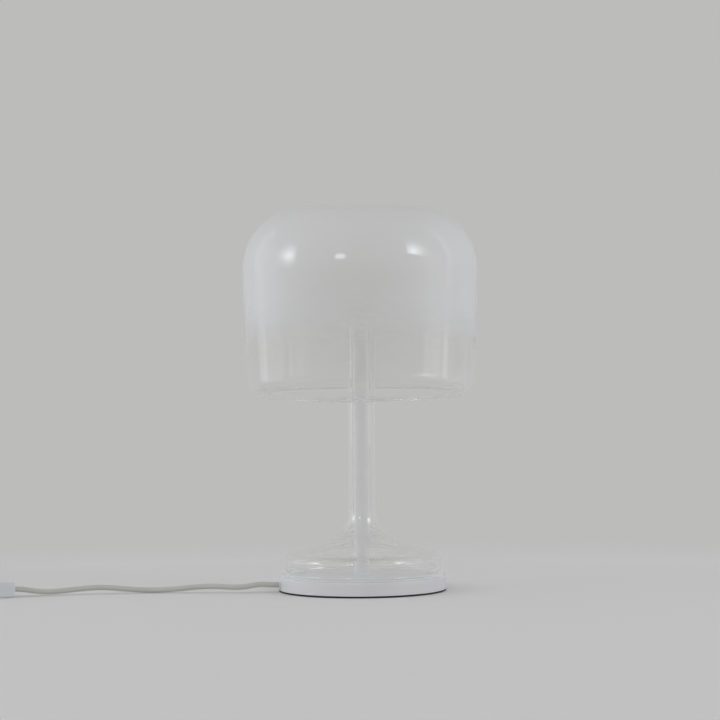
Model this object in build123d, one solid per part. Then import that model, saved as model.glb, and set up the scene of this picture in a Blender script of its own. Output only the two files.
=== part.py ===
from build123d import *
import os
from math import asin, atan2, cos, degrees, hypot, pi, radians, sin, sqrt, tan

# Bedside lamp: a blown glass dome, opal above and clear below, over a glass stem and foot on a white base.
# Millimetres, +Z up. The origin is on the lamp's axis, on the surface that it stands on. The front faces -Y.

# Glass shade
LAMP_H = 400.0  # floor to the crown of the shade
SHADE_H = 201.0  # crown to the bottom of the rim
SHADE_R = 121.0  # widest, below the shoulder
CROWN_R = 700.0  # slight doming of the top
SHOULDER_R = 66.0
RIM_CORNER_R = 22.7
LIP_R = 95.0  # where the rim has turned level
SHADE_WALL = 3.2

# Glass stem and foot, one blown piece
FOOT_WALL = 3.5
STEM_R = 14.0
FLARE_R = 15.5  # stem into trumpet
FLARE_SLOPE = 26.0  # degrees, steepest part of the trumpet
SWEEP_R = 118.0  # hollow curve of the trumpet
DRUM_SLOPE = 10.0  # degrees, where the drum's shoulder ends
DRUM_SHOULDER_R = 8.0
DRUM_R = 81.5
DRUM_H = 17.0  # heel to the start of the drum's shoulder
HEEL_R = 86.0
HEEL_EDGE = 1.2
HEEL_ROUND = 0.8

# Base
PAD_T = 2.0
PAN_R = 86.0
PAN_H = 12.2  # side wall, from the pad to the seat of the glass
PAN_ROUND = 1.2
SHEET = 1.5
PLATEAU_H = 2.0  # pressed step that centres the glass
LOCATE_GAP = 0.6
GASKET_T = 0.8
COVER_T = 1.5
COVER_GAP = 0.3
POST_R = 4.0
POST_RING_R = 68.0
POST_COUNT = 3
SCREW_R = 1.5
SCREW_HEAD_R = 3.0
SCREW_GRIP = 7.0
THREAD_GAP = 0.05

# Tie rod, its nuts and the white sleeve round it
ROD_R = 5.0
ROD_BORE_R = 3.5
NUT_ACROSS = 15.0
NUT_T = 3.5
WASHER_R = 11.0
WASHER_T = 1.2
ROD_TAIL = 1.5
SLEEVE_R = 8.2
SLEEVE_WALL = 1.2
STEM_GASKET_T = 1.0
STEM_CAP_T = 3.0
STEM_CAP_SKIRT = 4.0
SKIRT_GAP = 0.2

# Lampholder with threaded skirt
HOLDER_GAP = 0.5
ROD_GRIP = 8.0
HOLDER_CAP_H = 17.0
HOLDER_BOSS_R = 9.0
HOLDER_BOSS_H = 5.0
HOLDER_CONE_H = 4.0
HOLDER_R = 13.5
HOLDER_WALL = 1.8
HOLDER_BODY_H = 27.0
FLANGE_R = 17.5
FLANGE_T = 3.0
FLANGE_H = 7.0  # foot of the body to the flange
SKIRT_R = 13.9
INSERT_R = 11.0
INSERT_T = 6.0
INSERT_LAP = 1.0  # how far the insert hangs below the body
SOCKET_R = 7.3
SOCKET_WALL = 0.5
SOCKET_H = 17.0
CONTACT_R = 2.2
CONTACT_H = 1.6
TERMINAL_R = 1.6
TERMINAL_H = 2.5
TERMINAL_RING_R = 5.0

# Bulb
BULB_GAP = 14.0  # globe to the inside of the crown
BULB_R = 20.0
BULB_WALL = 1.0
NECK_R = 13.0
NECK_H = 7.5
BULB_SHELL_R = 6.9
BULB_SHELL_WALL = 0.5
BULB_SHELL_H = 18.0
INSULATOR_H = 3.0
TIP_R = 2.4
TIP_H = 1.5

# Shade carrier
HUB_T = 2.6
HUB_LIP = 3.5  # hub beyond the holder's flange
HUB_GAP = 0.3
RING_R = 18.0
RING_T = 4.5
ARM_R = 1.9
ARM_COUNT = 3
ARM_KNEE_R = 40.0
ARM_BEND_R = 14.0
ARM_START = 90.0  # degrees, the arm at the back
TIP_BALL_R = 4.0
TIP_SEAT_R = 86.0  # where the tips meet the inside of the shoulder
TIP_GAP = 0.3

# Cord and its entry
CORD_R = 2.8
CORD_GAP = 0.05
EXIT_ANGLE = 189.5  # degrees from +X: the left side, a little to the front
EXIT_DROP = 6.2  # below the seat of the glass
GROMMET_WALL = 0.9
GROMMET_LIP = 0.5
GROMMET_FLANGE_T = 1.2
SHEATH_END_R = 36.0  # where the sheath is stripped
CLAMP_R = 61.0  # middle of the clamp, from the axis
CLAMP_LENGTH = 10.0
CLAMP_WALL = 1.2
CLAMP_EAR = 7.0
CLAMP_EAR_T = 5.2
CLAMP_STUD_X = 8.5
STUD_TAIL = 0.5
SMALL_NUT_ACROSS = 5.5
SMALL_NUT_T = 2.4
CORE_R = 1.1
CORE_OFFSET = 1.15
CORE_LIFT = 1.4  # above the cover
CORE_LEAD = 4.0
CORE_DIP_R = 20.0
CORE_BEND_R = 4.0
CORE_EASE_R = 12.0
CORE_SPREAD_R = 2.5

# Inline switch, lying on the floor
SWITCH_END = (-356.5, -34.3)
SWITCH_YAW = 194.0  # degrees, the way the cord runs through it
SWITCH_L = 64.0
SWITCH_W = 26.0
SWITCH_H = 16.0
SWITCH_CORNER_R = 7.0
SWITCH_EDGE_R = 1.8
SWITCH_WALL = 2.0
SWITCH_CORD_IN = 6.5
SWITCH_CORD_GAP = 0.1
SWITCH_POST_R = 2.8
SWITCH_POST = (18.0, 8.0)  # from the middle, diagonally
SWITCH_SCREW_R = 1.2
SWITCH_SCREW_HEAD_R = 2.2
SWITCH_SCREW_HEAD_T = 1.4
SWITCH_SCREW_GRIP = 10.0
ROCKER_L = 22.4
ROCKER_W = 11.2
ROCKER_GAP = 0.8
ROCKER_PROUD = 1.2
ROCKER_DISH_R = 60.0
ROCKER_DEPTH = 4.2
ROCKER_TILT = 7.0  # degrees each side of level
PIVOT_DROP = 4.0  # below the cover's top
TRUNNION_R = 1.3
TRUNNION_L = 1.7
TRUNNION_GAP = 0.15
WEB_T = 1.6
WEB_L = 8.0
WEB_GAP = 0.4
TERMINAL_BLOCK = (9.0, 5.0, 5.0)
TERMINAL_AT = 9.5  # from the middle, on each side
BLADE_W = 3.0
BLADE_T = 0.5
BLADE_GAP = 0.3  # below the rocker's trunnions
BLADE_OPEN = 1.4  # above the second terminal

# Cord routes on the floor, between the straight ends that the fittings give
CORD_WAVES = [
    (-106.0, -17.7, 9.4),
    (-126.5, -17.5, 5.2),
    (-157.0, -12.5, 7.6),
    (-198.3, -8.5, 3.4),
    (-229.2, -9.5, 3.2),
    (-262.0, -13.5, 6.8),
    (-283.0, -17.5, 6.8),
    (-317.5, -25.0, 3.6),
    (-335.0, -29.3, 4.9),
]
EXIT_RUN = 8.0
SWITCH_RUN = 5.0
COIL_LEAD = [(17.0, 0.6, 6.4)]  # past the switch: along, across, height
COIL_RUN = 11.0
COIL_REACH = 42.0
PLUG_LEAD = [(19.5, 0.5, 8.7)]  # past the coil: along, across, height
PLUG_RUN = 9.0
PLUG_REACH = 39.0
ARC_SHARE = 0.45  # of the shorter run, taken by a corner's arc

# Coil of the cord that is put away
COIL_R = 43.0  # outermost turn
COIL_TURNS_IN = 3.0
COIL_TURNS_OUT = 2.875
COIL_SIDE_GAP = 0.6
COIL_LAYER_GAP = 0.5
TIE_T = 0.9
TIE_W = 7.0
TIE_GAP = 0.3
TIE_ANGLE = 20.0
TIE_ROUND = 2.0

# Flat two-pin plug, lying on the floor
PLUG_W = 35.3
PLUG_T = 13.7
PLUG_L = 34.0
PLUG_TAIL_W = 15.0
PLUG_TAIL_T = 11.0
PLUG_ROUND = 3.5
RELIEF_L = 22.0
RELIEF_R = 5.0
RELIEF_MOUTH_R = 3.7
RELIEF_GROOVES = 4
RELIEF_GROOVE = 1.6
RELIEF_GROOVE_DEPTH = 0.8
PIN_R = 2.0
PIN_L = 19.0
PIN_SPACING = 18.6
PIN_ROOT = 8.0
PIN_CORE_R = 1.2
SLEEVE_L = 10.0
PIN_SLEEVE_R = 1.7

# Levels on the axis, counted up from the floor and down from the crown
SEAT_Z = PAD_T + PAN_H
PLATEAU_Z = SEAT_Z + PLATEAU_H
FOOT_Z = SEAT_Z + GASKET_T
COVER_TOP_Z = PAD_T + COVER_T
EXIT_Z = SEAT_Z - EXIT_DROP
BASE_NUT_Z = PLATEAU_Z - SHEET - WASHER_T - NUT_T
ROD_FOOT_Z = BASE_NUT_Z - ROD_TAIL
RIM_Z = LAMP_H - SHADE_H
GLOBE_Z = LAMP_H - SHADE_WALL - BULB_GAP - BULB_R
NECK_Z = GLOBE_Z - sqrt(BULB_R**2 - NECK_R**2) - NECK_H
BULB_SHELL_Z = NECK_Z - BULB_SHELL_H
BULB_TIP_Z = BULB_SHELL_Z - INSULATOR_H - TIP_H
INSERT_TOP_Z = BULB_TIP_Z - CONTACT_H
INSERT_Z = INSERT_TOP_Z - INSERT_T
BODY_Z = INSERT_Z + INSERT_LAP
FLANGE_TOP_Z = BODY_Z + FLANGE_H + FLANGE_T
HOLDER_Z = BODY_Z - HOLDER_CAP_H
ROD_TOP_Z = HOLDER_Z + ROD_GRIP
CAP_NUT_Z = HOLDER_Z - HOLDER_GAP - NUT_T
STEM_CAP_Z = CAP_NUT_Z - STEM_CAP_T
STEM_TOP_Z = STEM_CAP_Z - STEM_GASKET_T

ROD_HOLE_R = ROD_R + THREAD_GAP
STEM_BORE_R = STEM_R - FOOT_WALL
PAN_INNER_R = PAN_R - SHEET
STEP_R = DRUM_R - FOOT_WALL - LOCATE_GAP
SHOULDER_X = SHADE_R - SHOULDER_R
SHOULDER_Z = LAMP_H - CROWN_R + sqrt((CROWN_R - SHOULDER_R) ** 2 - SHOULDER_X**2)
CORNER_Z = RIM_Z + RIM_CORNER_R
SWITCH_MID_Z = SWITCH_H / 2
COIL_PITCH = 2 * CORD_R + COIL_SIDE_GAP
COIL_CLIMB = 2 * CORD_R + COIL_LAYER_GAP
COIL_Z = TIE_T + TIE_GAP + CORD_R

FOOT = (Align.CENTER, Align.CENTER, Align.MIN)


def arc_about(centre, radius, start, end):
    """Arc in a flat outline, from its centre, its radius and the angles of its two ends."""

    def at(angle):
        return (centre[0] + radius * cos(radians(angle)), centre[1] + radius * sin(radians(angle)))

    return ThreePointArc(at(start), at((start + end) / 2), at(end))


def turned(*edges):
    """Solid turned about the lamp's axis from a closed outline of (radius, height) edges."""
    return revolve(Plane.XZ * make_face(edges), Axis.Z)


def disc(radius, low, high):
    """Round disc or bar on the lamp's axis."""
    return Pos(0, 0, low) * Cylinder(radius, high - low, align=FOOT)


def ring(bore, radius, low, high):
    """Washer, tube or ring on the lamp's axis."""
    return disc(radius, low, high) - disc(bore, low, high)


def hex_nut(across, bore, low, high):
    """Six-sided nut on the lamp's axis."""
    blank = Pos(0, 0, low) * extrude(RegularPolygon(across / 2, 6, major_radius=False), high - low)
    return blank - disc(bore, low, high)


def bar_x(radius, start, end, y=0.0, z=0.0):
    """Round bar along X."""
    return Plane(origin=(start, y, z), z_dir=(1, 0, 0)) * Cylinder(radius, end - start, align=FOOT)


def block(x_span, y_span, z_span):
    """Box between two limits on each axis."""
    low = [span[0] for span in (x_span, y_span, z_span)]
    size = [span[1] - span[0] for span in (x_span, y_span, z_span)]
    return Pos(*low) * Box(*size, align=(Align.MIN, Align.MIN, Align.MIN))


def around(count, start=0.0):
    """Turns about the lamp's axis, evenly spaced."""
    return [Rot(0, 0, start + 360.0 * i / count) for i in range(count)]


def group(solids):
    """Like pieces kept together in one node."""
    return Compound(children=list(solids))


def tube(path, radius):
    """Round tube along a path."""
    return sweep(Plane(origin=path @ 0, z_dir=path % 0) * Circle(radius), path=path)


def route(name, points):
    """Path of straight runs and tangent arcs, each as large as its two runs allow."""
    radii = []
    for before, here, after in zip(points, points[1:], points[2:]):
        into = Vector(*here) - Vector(*before)
        out = Vector(*after) - Vector(*here)
        half_turn = radians(into.get_angle(out)) / 2
        radii.append(ARC_SHARE * min(into.length, out.length) / tan(half_turn))
    path = FilletPolyline(*points, radius=radii)
    print(name, "length", round(path.length, 1), "radii", [round(r) for r in radii])
    return path


def cord_along(name, path):
    """Cord along a path, with its volume set against its section times its length."""
    cord = tube(path, CORD_R)
    print(name, "volume share", round(cord.volume / (pi * CORD_R**2 * path.length), 4))
    return cord


# Shade


def shade_taper():
    """Angle in degrees by which the dome's wall draws in, so that it meets both of its arcs smoothly."""
    across = LIP_R - SHOULDER_X
    down = SHOULDER_Z - CORNER_Z
    return degrees(asin((SHOULDER_R - RIM_CORNER_R) / hypot(across, down)) - atan2(across, down))


def shade_line(inset):
    """Crown, shoulder, wall and rim corner of the dome, set in from its outer face."""
    lean = degrees(asin(SHOULDER_X / (CROWN_R - SHOULDER_R)))
    taper = shade_taper()
    crown = arc_about((0, LAMP_H - CROWN_R), CROWN_R - inset, 90, 90 - lean)
    shoulder = arc_about((SHOULDER_X, SHOULDER_Z), SHOULDER_R - inset, 90 - lean, -taper)
    corner = arc_about((LIP_R, CORNER_Z), RIM_CORNER_R - inset, -taper, -90)
    return [crown, shoulder, Line(shoulder @ 1, corner @ 0), corner]


def glass_shade():
    """Blown dome of even wall, open below, with its rim turned in and its lip melted round."""
    outer = shade_line(0)
    inner = shade_line(SHADE_WALL)
    lip = arc_about((LIP_R, RIM_Z + SHADE_WALL / 2), SHADE_WALL / 2, -90, -270)
    top = Line(outer[0] @ 0, inner[0] @ 0)
    return turned(*outer, lip, *inner, top)


# Stem and foot


def foot_line(inset):
    """Drum wall, its shoulder, the trumpet and the stem, set in from the outer face."""
    drum_top = FOOT_Z + DRUM_H
    shoulder_c = (DRUM_R - DRUM_SHOULDER_R, drum_top)
    shoulder = arc_about(shoulder_c, DRUM_SHOULDER_R - inset, 0, 90 - DRUM_SLOPE)
    normal = radians(90 - DRUM_SLOPE)
    reach = DRUM_SHOULDER_R + SWEEP_R
    sweep_c = (shoulder_c[0] + reach * cos(normal), shoulder_c[1] + reach * sin(normal))
    sweep_arc = arc_about(sweep_c, SWEEP_R + inset, 270 - DRUM_SLOPE, 270 - FLARE_SLOPE)
    outer_end = arc_about(sweep_c, SWEEP_R, 270 - DRUM_SLOPE, 270 - FLARE_SLOPE) @ 1
    slope = radians(FLARE_SLOPE)
    flare_start = STEM_R + FLARE_R * (1 - sin(slope))
    flare_z = outer_end.Y + (outer_end.X - flare_start) * tan(slope) + FLARE_R * cos(slope)
    flare = arc_about((STEM_R + FLARE_R, flare_z), FLARE_R + inset, 270 - FLARE_SLOPE, 180)
    stem = Line(flare @ 1, (STEM_R - inset, STEM_TOP_Z))
    return [shoulder, sweep_arc, Line(sweep_arc @ 1, flare @ 0), flare, stem]


def glass_foot():
    """Blown stem that flares into a drum standing on a heel flange, open below."""
    outer = foot_line(0)
    inner = foot_line(FOOT_WALL)
    edge_z = FOOT_Z + HEEL_EDGE
    heel = Line((HEEL_R, FOOT_Z), (HEEL_R, edge_z))
    bead = arc_about((HEEL_R - HEEL_ROUND, edge_z), HEEL_ROUND, 0, 90)
    hollow_r = HEEL_R - HEEL_ROUND - DRUM_R
    hollow = arc_about((HEEL_R - HEEL_ROUND, edge_z + HEEL_ROUND + hollow_r), hollow_r, 270, 180)
    wall = Line(hollow @ 1, outer[0] @ 0)
    top = Line(outer[-1] @ 1, inner[-1] @ 1)
    inner_foot = (DRUM_R - FOOT_WALL, FOOT_Z)
    inner_wall = Line(inner[0] @ 0, inner_foot)
    sole = Line(inner_foot, (HEEL_R, FOOT_Z))
    return turned(heel, bead, hollow, wall, *outer, top, *inner, inner_wall, sole)


def stem_cap():
    """Lacquered cap that clamps the stem and centres both the glass and the sleeve."""
    lid = ring(ROD_HOLE_R, STEM_R, STEM_CAP_Z, CAP_NUT_Z)
    skirt = ring(SLEEVE_R + SKIRT_GAP, STEM_BORE_R - SKIRT_GAP, STEM_CAP_Z - STEM_CAP_SKIRT, STEM_CAP_Z)
    return lid + skirt


# Base


def cover_posts():
    """Places of the posts that take the cover's screws."""
    return [turn * Pos(POST_RING_R, 0, 0) for turn in around(POST_COUNT, EXIT_ANGLE + 180.0 / POST_COUNT)]


def clamp_studs():
    """Places of the two studs of the cord clamp."""
    return [Rot(0, 0, EXIT_ANGLE) * Pos(CLAMP_R, side * CLAMP_STUD_X, 0) for side in (-1, 1)]


def base_pan():
    """Pressed pan: wall, seat for the glass and raised plateau, with posts and studs welded inside."""
    under = PLATEAU_Z - SHEET
    corners = [
        (PAN_R, PAD_T),
        (PAN_R, SEAT_Z),
        (STEP_R, SEAT_Z),
        (STEP_R, PLATEAU_Z),
        (ROD_HOLE_R, PLATEAU_Z),
        (ROD_HOLE_R, under),
        (STEP_R - SHEET, under),
        (STEP_R - SHEET, SEAT_Z - SHEET),
        (PAN_INNER_R, SEAT_Z - SHEET),
        (PAN_INNER_R, PAD_T),
    ]
    outline = make_face(Polyline(*corners, close=True))
    outline = fillet(outline.vertices().sort_by_distance((PAN_R, SEAT_Z))[0], PAN_ROUND)
    pan = revolve(Plane.XZ * outline, Axis.Z)
    for place in cover_posts():
        pan += place * disc(POST_R, COVER_TOP_Z, under + SHEET / 2)
        pan -= place * disc(SCREW_R + THREAD_GAP, COVER_TOP_Z, COVER_TOP_Z + SCREW_GRIP)
    stud_foot = under - CLAMP_EAR_T - SMALL_NUT_T - STUD_TAIL
    for place in clamp_studs():
        pan += place * disc(SCREW_R, stud_foot, under + SHEET / 2)
    hole = bar_x(CORD_R + CORD_GAP + GROMMET_WALL, PAN_INNER_R - SHEET, PAN_R + SHEET, z=EXIT_Z)
    return pan - Rot(0, 0, EXIT_ANGLE) * hole


def screw_head(gap=0.0):
    """Countersunk head of a cover screw, or with a gap the room that it needs."""
    return Pos(0, 0, PAD_T) * Cone(SCREW_HEAD_R + gap, SCREW_R + gap, COVER_T, align=FOOT)


def cover_screws():
    """The screws that hold the cover to the posts."""
    screw = screw_head() + disc(SCREW_R, PAD_T, COVER_TOP_Z + SCREW_GRIP)
    return group(place * screw for place in cover_posts())


def base_cover():
    """Plate that closes the pan from below."""
    plate = disc(PAN_INNER_R - COVER_GAP, PAD_T, COVER_TOP_Z)
    for place in cover_posts():
        plate -= place * screw_head(THREAD_GAP)
    return plate


def cord_grommet():
    """Soft bush in the pan's side, with a lip on each face of the wall."""
    bore = CORD_R + CORD_GAP
    body_r = bore + GROMMET_WALL - CORD_GAP
    lip_r = body_r + GROMMET_LIP
    inner_face = sqrt(PAN_INNER_R**2 - lip_r**2) - CORD_GAP
    outside = bar_x(lip_r, PAN_R, PAN_R + GROMMET_FLANGE_T, z=EXIT_Z)
    neck = bar_x(body_r, inner_face, PAN_R, z=EXIT_Z)
    inside = bar_x(lip_r, inner_face - GROMMET_FLANGE_T, inner_face, z=EXIT_Z)
    hole = bar_x(bore, inner_face - GROMMET_FLANGE_T, PAN_R + GROMMET_FLANGE_T, z=EXIT_Z)
    return Rot(0, 0, EXIT_ANGLE) * (outside + neck + inside - hole)


def cord_clamp():
    """Saddle with two ears that holds the cord against pulling."""
    under = PLATEAU_Z - SHEET
    span = (CLAMP_R - CLAMP_LENGTH / 2, CLAMP_R + CLAMP_LENGTH / 2)
    half = CORD_R + CLAMP_WALL
    saddle = block(span, (-half, half), (EXIT_Z - half, under))
    ears = block(span, (-half - CLAMP_EAR, half + CLAMP_EAR), (under - CLAMP_EAR_T, under))
    hole = bar_x(CORD_R + CORD_GAP, *span, z=EXIT_Z)
    clamp = Rot(0, 0, EXIT_ANGLE) * (saddle + ears - hole)
    for place in clamp_studs():
        clamp -= place * disc(SCREW_R + THREAD_GAP, under - CLAMP_EAR_T, under)
    return clamp


def clamp_nuts():
    """The two nuts under the clamp's ears."""
    high = PLATEAU_Z - SHEET - CLAMP_EAR_T
    nut = hex_nut(SMALL_NUT_ACROSS, SCREW_R + THREAD_GAP, high - SMALL_NUT_T, high)
    return group(place * nut for place in clamp_studs())


def cord_inner():
    """Sheathed cord between the pan's wall and the end of its sheath."""
    return Rot(0, 0, EXIT_ANGLE) * bar_x(CORD_R, SHEATH_END_R, PAN_R + GROMMET_FLANGE_T, z=EXIT_Z)


def core(side):
    """One of the two cores, from the sheath under the rod, up its bore and to its terminal."""
    y = side * CORE_OFFSET
    run_z = COVER_TOP_Z + CORE_LIFT + CORE_R
    spread_z = ROD_TOP_Z + CORE_R
    terminal_y = side * TERMINAL_RING_R
    points = [
        (SHEATH_END_R, y, EXIT_Z),
        (SHEATH_END_R - CORE_LEAD, y, EXIT_Z),
        (CORE_DIP_R, y, run_z),
        (0, y, run_z),
        (0, y, spread_z),
        (0, terminal_y, (spread_z + INSERT_Z) / 2),
        (0, terminal_y, INSERT_Z),
    ]
    radii = [CORE_EASE_R, CORE_EASE_R, CORE_BEND_R, CORE_SPREAD_R, CORE_SPREAD_R]
    return Rot(0, 0, EXIT_ANGLE) * tube(FilletPolyline(*points, radius=radii), CORE_R)


# Lampholder and bulb


def holder_cap():
    """Lower half of the lampholder, with the threaded entry."""
    cone_z = HOLDER_Z + HOLDER_BOSS_H
    wall_z = cone_z + HOLDER_CONE_H
    inner_r = HOLDER_R - HOLDER_WALL
    outline = Polyline(
        (ROD_HOLE_R, HOLDER_Z),
        (HOLDER_BOSS_R, HOLDER_Z),
        (HOLDER_BOSS_R, cone_z),
        (HOLDER_R, wall_z),
        (HOLDER_R, BODY_Z),
        (inner_r, BODY_Z),
        (inner_r, wall_z),
        (HOLDER_BOSS_R - HOLDER_WALL, cone_z),
        (ROD_HOLE_R, cone_z),
        close=True,
    )
    return turned(outline)


def holder_body():
    """Upper half of the lampholder, with a flange and threaded skirt for the shade carrier."""
    top_z = BODY_Z + HOLDER_BODY_H
    flange_z = FLANGE_TOP_Z - FLANGE_T
    pocket_r = INSERT_R + THREAD_GAP
    bore_r = SOCKET_R + 2 * SOCKET_WALL
    outline = Polyline(
        (pocket_r, BODY_Z),
        (HOLDER_R, BODY_Z),
        (HOLDER_R, flange_z),
        (FLANGE_R, flange_z),
        (FLANGE_R, FLANGE_TOP_Z),
        (SKIRT_R, FLANGE_TOP_Z),
        (SKIRT_R, top_z),
        (bore_r, top_z),
        (bore_r, INSERT_TOP_Z),
        (pocket_r, INSERT_TOP_Z),
        close=True,
    )
    return turned(outline)


def terminal_screws():
    """The two terminal screws under the insert."""
    screw = disc(TERMINAL_R, INSERT_Z - TERMINAL_H, INSERT_Z)
    return group(turn * Pos(TERMINAL_RING_R, 0, 0) * screw for turn in around(2, EXIT_ANGLE))


def bulb_globe():
    """Hollow glass globe of the bulb, closed by its neck."""
    ball = Pos(0, 0, GLOBE_Z) * (Sphere(BULB_R) - Sphere(BULB_R - BULB_WALL))
    return ball - disc(BULB_R, GLOBE_Z - 2 * BULB_R, NECK_Z + NECK_H)


def bulb_neck():
    """Cone between the bulb's threaded shell and its globe."""
    return Pos(0, 0, NECK_Z) * Cone(BULB_SHELL_R, NECK_R, NECK_H, align=FOOT)


def bulb_insulator():
    """Glass cone between the bulb's shell and its tip."""
    low = BULB_TIP_Z + TIP_H
    return Pos(0, 0, low) * Cone(TIP_R, BULB_SHELL_R, INSULATOR_H, align=FOOT)


# Shade carrier


def tip_centre():
    """Radius and height of a tip's middle, a gap below the inside of the dome's shoulder."""
    inside_r = SHOULDER_R - SHADE_WALL
    across = TIP_SEAT_R - SHOULDER_X
    up = sqrt(inside_r**2 - across**2)
    share = (inside_r - TIP_GAP - TIP_BALL_R) / inside_r
    return SHOULDER_X + across * share, SHOULDER_Z + up * share


def carrier_arm():
    """Wire arm from the hub out and up to its tip."""
    hub_mid = FLANGE_TOP_Z + HUB_T / 2
    tip_r, tip_z = tip_centre()
    points = [(FLANGE_R + HUB_LIP / 2, 0, hub_mid), (ARM_KNEE_R, 0, hub_mid), (tip_r, 0, tip_z)]
    return tube(FilletPolyline(*points, radius=ARM_BEND_R), ARM_R)


def shade_carrier():
    """Hub that seats on the lampholder's flange, with its arms."""
    carrier = ring(SKIRT_R + HUB_GAP, FLANGE_R + HUB_LIP, FLANGE_TOP_Z, FLANGE_TOP_Z + HUB_T)
    for turn in around(ARM_COUNT, ARM_START):
        carrier += turn * carrier_arm()
    return carrier


def carrier_tips():
    """Soft balls on the ends of the arms, which carry the dome."""
    tip_r, tip_z = tip_centre()
    tip = Pos(tip_r, 0, tip_z) * Sphere(TIP_BALL_R) - carrier_arm()
    return group(turn * tip for turn in around(ARM_COUNT, ARM_START))


# Inline switch, modelled along X from its end by the lamp and then put in its place


def switch_place():
    """Where the switch lies on the floor."""
    return Pos(*SWITCH_END, 0) * Rot(0, 0, SWITCH_YAW)


def switch_posts():
    """Places of the two screw posts, diagonally across the switch."""
    along, across = SWITCH_POST
    return [Pos(SWITCH_L / 2 + side * along, -side * across, 0) for side in (-1, 1)]


def switch_shell(low, high, floor_z):
    """One half of the switch's casing, hollowed from the parting plane and rounded on its outer face."""
    middle = Pos(SWITCH_L / 2, 0, low)
    shell = middle * extrude(RectangleRounded(SWITCH_L, SWITCH_W, SWITCH_CORNER_R), high - low)
    face = shell.faces().sort_by(Axis.Z)[0 if floor_z == low else -1]
    shell = fillet(face.edges(), SWITCH_EDGE_R)
    room = RectangleRounded(
        SWITCH_L - 2 * SWITCH_WALL, SWITCH_W - 2 * SWITCH_WALL, SWITCH_CORNER_R - SWITCH_WALL
    )
    start = low + SWITCH_WALL if floor_z == low else low
    return shell - Pos(SWITCH_L / 2, 0, start) * extrude(room, high - low - SWITCH_WALL)


def switch_notch():
    """Passage for the cord along the parting plane."""
    radius = CORD_R + SWITCH_CORD_GAP
    near = bar_x(radius, -SWITCH_WALL, SWITCH_WALL, z=SWITCH_MID_Z)
    far = bar_x(radius, SWITCH_L - SWITCH_WALL, SWITCH_L + SWITCH_WALL, z=SWITCH_MID_Z)
    return near + far


def switch_screw(gap=0.0):
    """Screw of the switch, from below, or with a gap the room that it needs."""
    head = disc(SWITCH_SCREW_HEAD_R + gap, 0, SWITCH_SCREW_HEAD_T)
    return head + disc(SWITCH_SCREW_R + gap, 0, SWITCH_SCREW_GRIP)


def switch_base():
    """Lower half of the casing, on the floor."""
    shell = switch_shell(0.0, SWITCH_MID_Z, 0.0) - switch_notch()
    for place in switch_posts():
        shell += place * disc(SWITCH_POST_R, SWITCH_WALL / 2, SWITCH_MID_Z)
        shell -= place * switch_screw(THREAD_GAP)
    return switch_place() * shell


def pivot_z():
    """Height of the rocker's pivot."""
    return SWITCH_H - PIVOT_DROP


def switch_cover():
    """Upper half of the casing, with the rocker's window and the webs that carry its trunnions."""
    shell = switch_shell(SWITCH_MID_Z, SWITCH_H, SWITCH_H) - switch_notch()
    middle = SWITCH_L / 2
    half_l = ROCKER_L / 2 + ROCKER_GAP
    half_w = ROCKER_W / 2 + WEB_GAP
    window_span = (middle - half_l, middle + half_l)
    window = block(window_span, (-half_w, half_w), (SWITCH_MID_Z, SWITCH_H + SWITCH_WALL))
    web_low = pivot_z() - TRUNNION_R - WEB_T
    web_span = (middle - WEB_L / 2, middle + WEB_L / 2)
    for side in (-1, 1):
        inner, outer = sorted((side * half_w, side * (half_w + WEB_T)))
        shell += block(web_span, (inner, outer), (web_low, SWITCH_H - SWITCH_WALL / 2))
    shell -= window
    half_axle = ROCKER_W / 2 + TRUNNION_L + TRUNNION_GAP
    axle = Plane(origin=(middle, -half_axle, pivot_z()), z_dir=(0, 1, 0))
    shell -= axle * Cylinder(TRUNNION_R + TRUNNION_GAP, 2 * half_axle, align=FOOT)
    for place in switch_posts():
        shell += place * disc(SWITCH_POST_R, SWITCH_MID_Z, SWITCH_H - SWITCH_WALL / 2)
        shell -= place * switch_screw(THREAD_GAP)
    return switch_place() * shell


def switch_rocker():
    """Dished rocker on two trunnions, lying on its stop."""
    half = ROCKER_L / 2
    top_z = SWITCH_H + ROCKER_PROUD
    low_z = top_z - ROCKER_DEPTH
    dish = RadiusArc((-half, top_z), (half, top_z), -ROCKER_DISH_R)
    nose_z = low_z - TRUNNION_R
    under = Polyline(
        (half, top_z),
        (half, low_z),
        (TRUNNION_R, nose_z),
        (-TRUNNION_R, nose_z),
        (-half, low_z),
        (-half, top_z),
    )
    side = Plane.XZ * make_face([dish, under])
    rocker = extrude(side, ROCKER_W / 2, both=True)
    axle = Plane(origin=(0, -ROCKER_W / 2 - TRUNNION_L, pivot_z()), z_dir=(0, 1, 0))
    rocker += axle * Cylinder(TRUNNION_R, ROCKER_W + 2 * TRUNNION_L, align=FOOT)
    pivot = Pos(0, 0, pivot_z())
    tilted = pivot * Rot(0, -ROCKER_TILT, 0) * pivot.inverse() * rocker
    return switch_place() * Pos(SWITCH_L / 2, 0, 0) * tilted


def switch_screws():
    """The two screws that hold the casing together."""
    return group(switch_place() * place * switch_screw() for place in switch_posts())


def switch_terminals():
    """Brass terminal blocks on the switch's floor."""
    brass = Pos(0, 0, SWITCH_WALL) * Box(*TERMINAL_BLOCK, align=FOOT)
    places = [Pos(SWITCH_L / 2 + side * TERMINAL_AT, 0, 0) for side in (-1, 1)]
    return group(switch_place() * place * brass for place in places)


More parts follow.
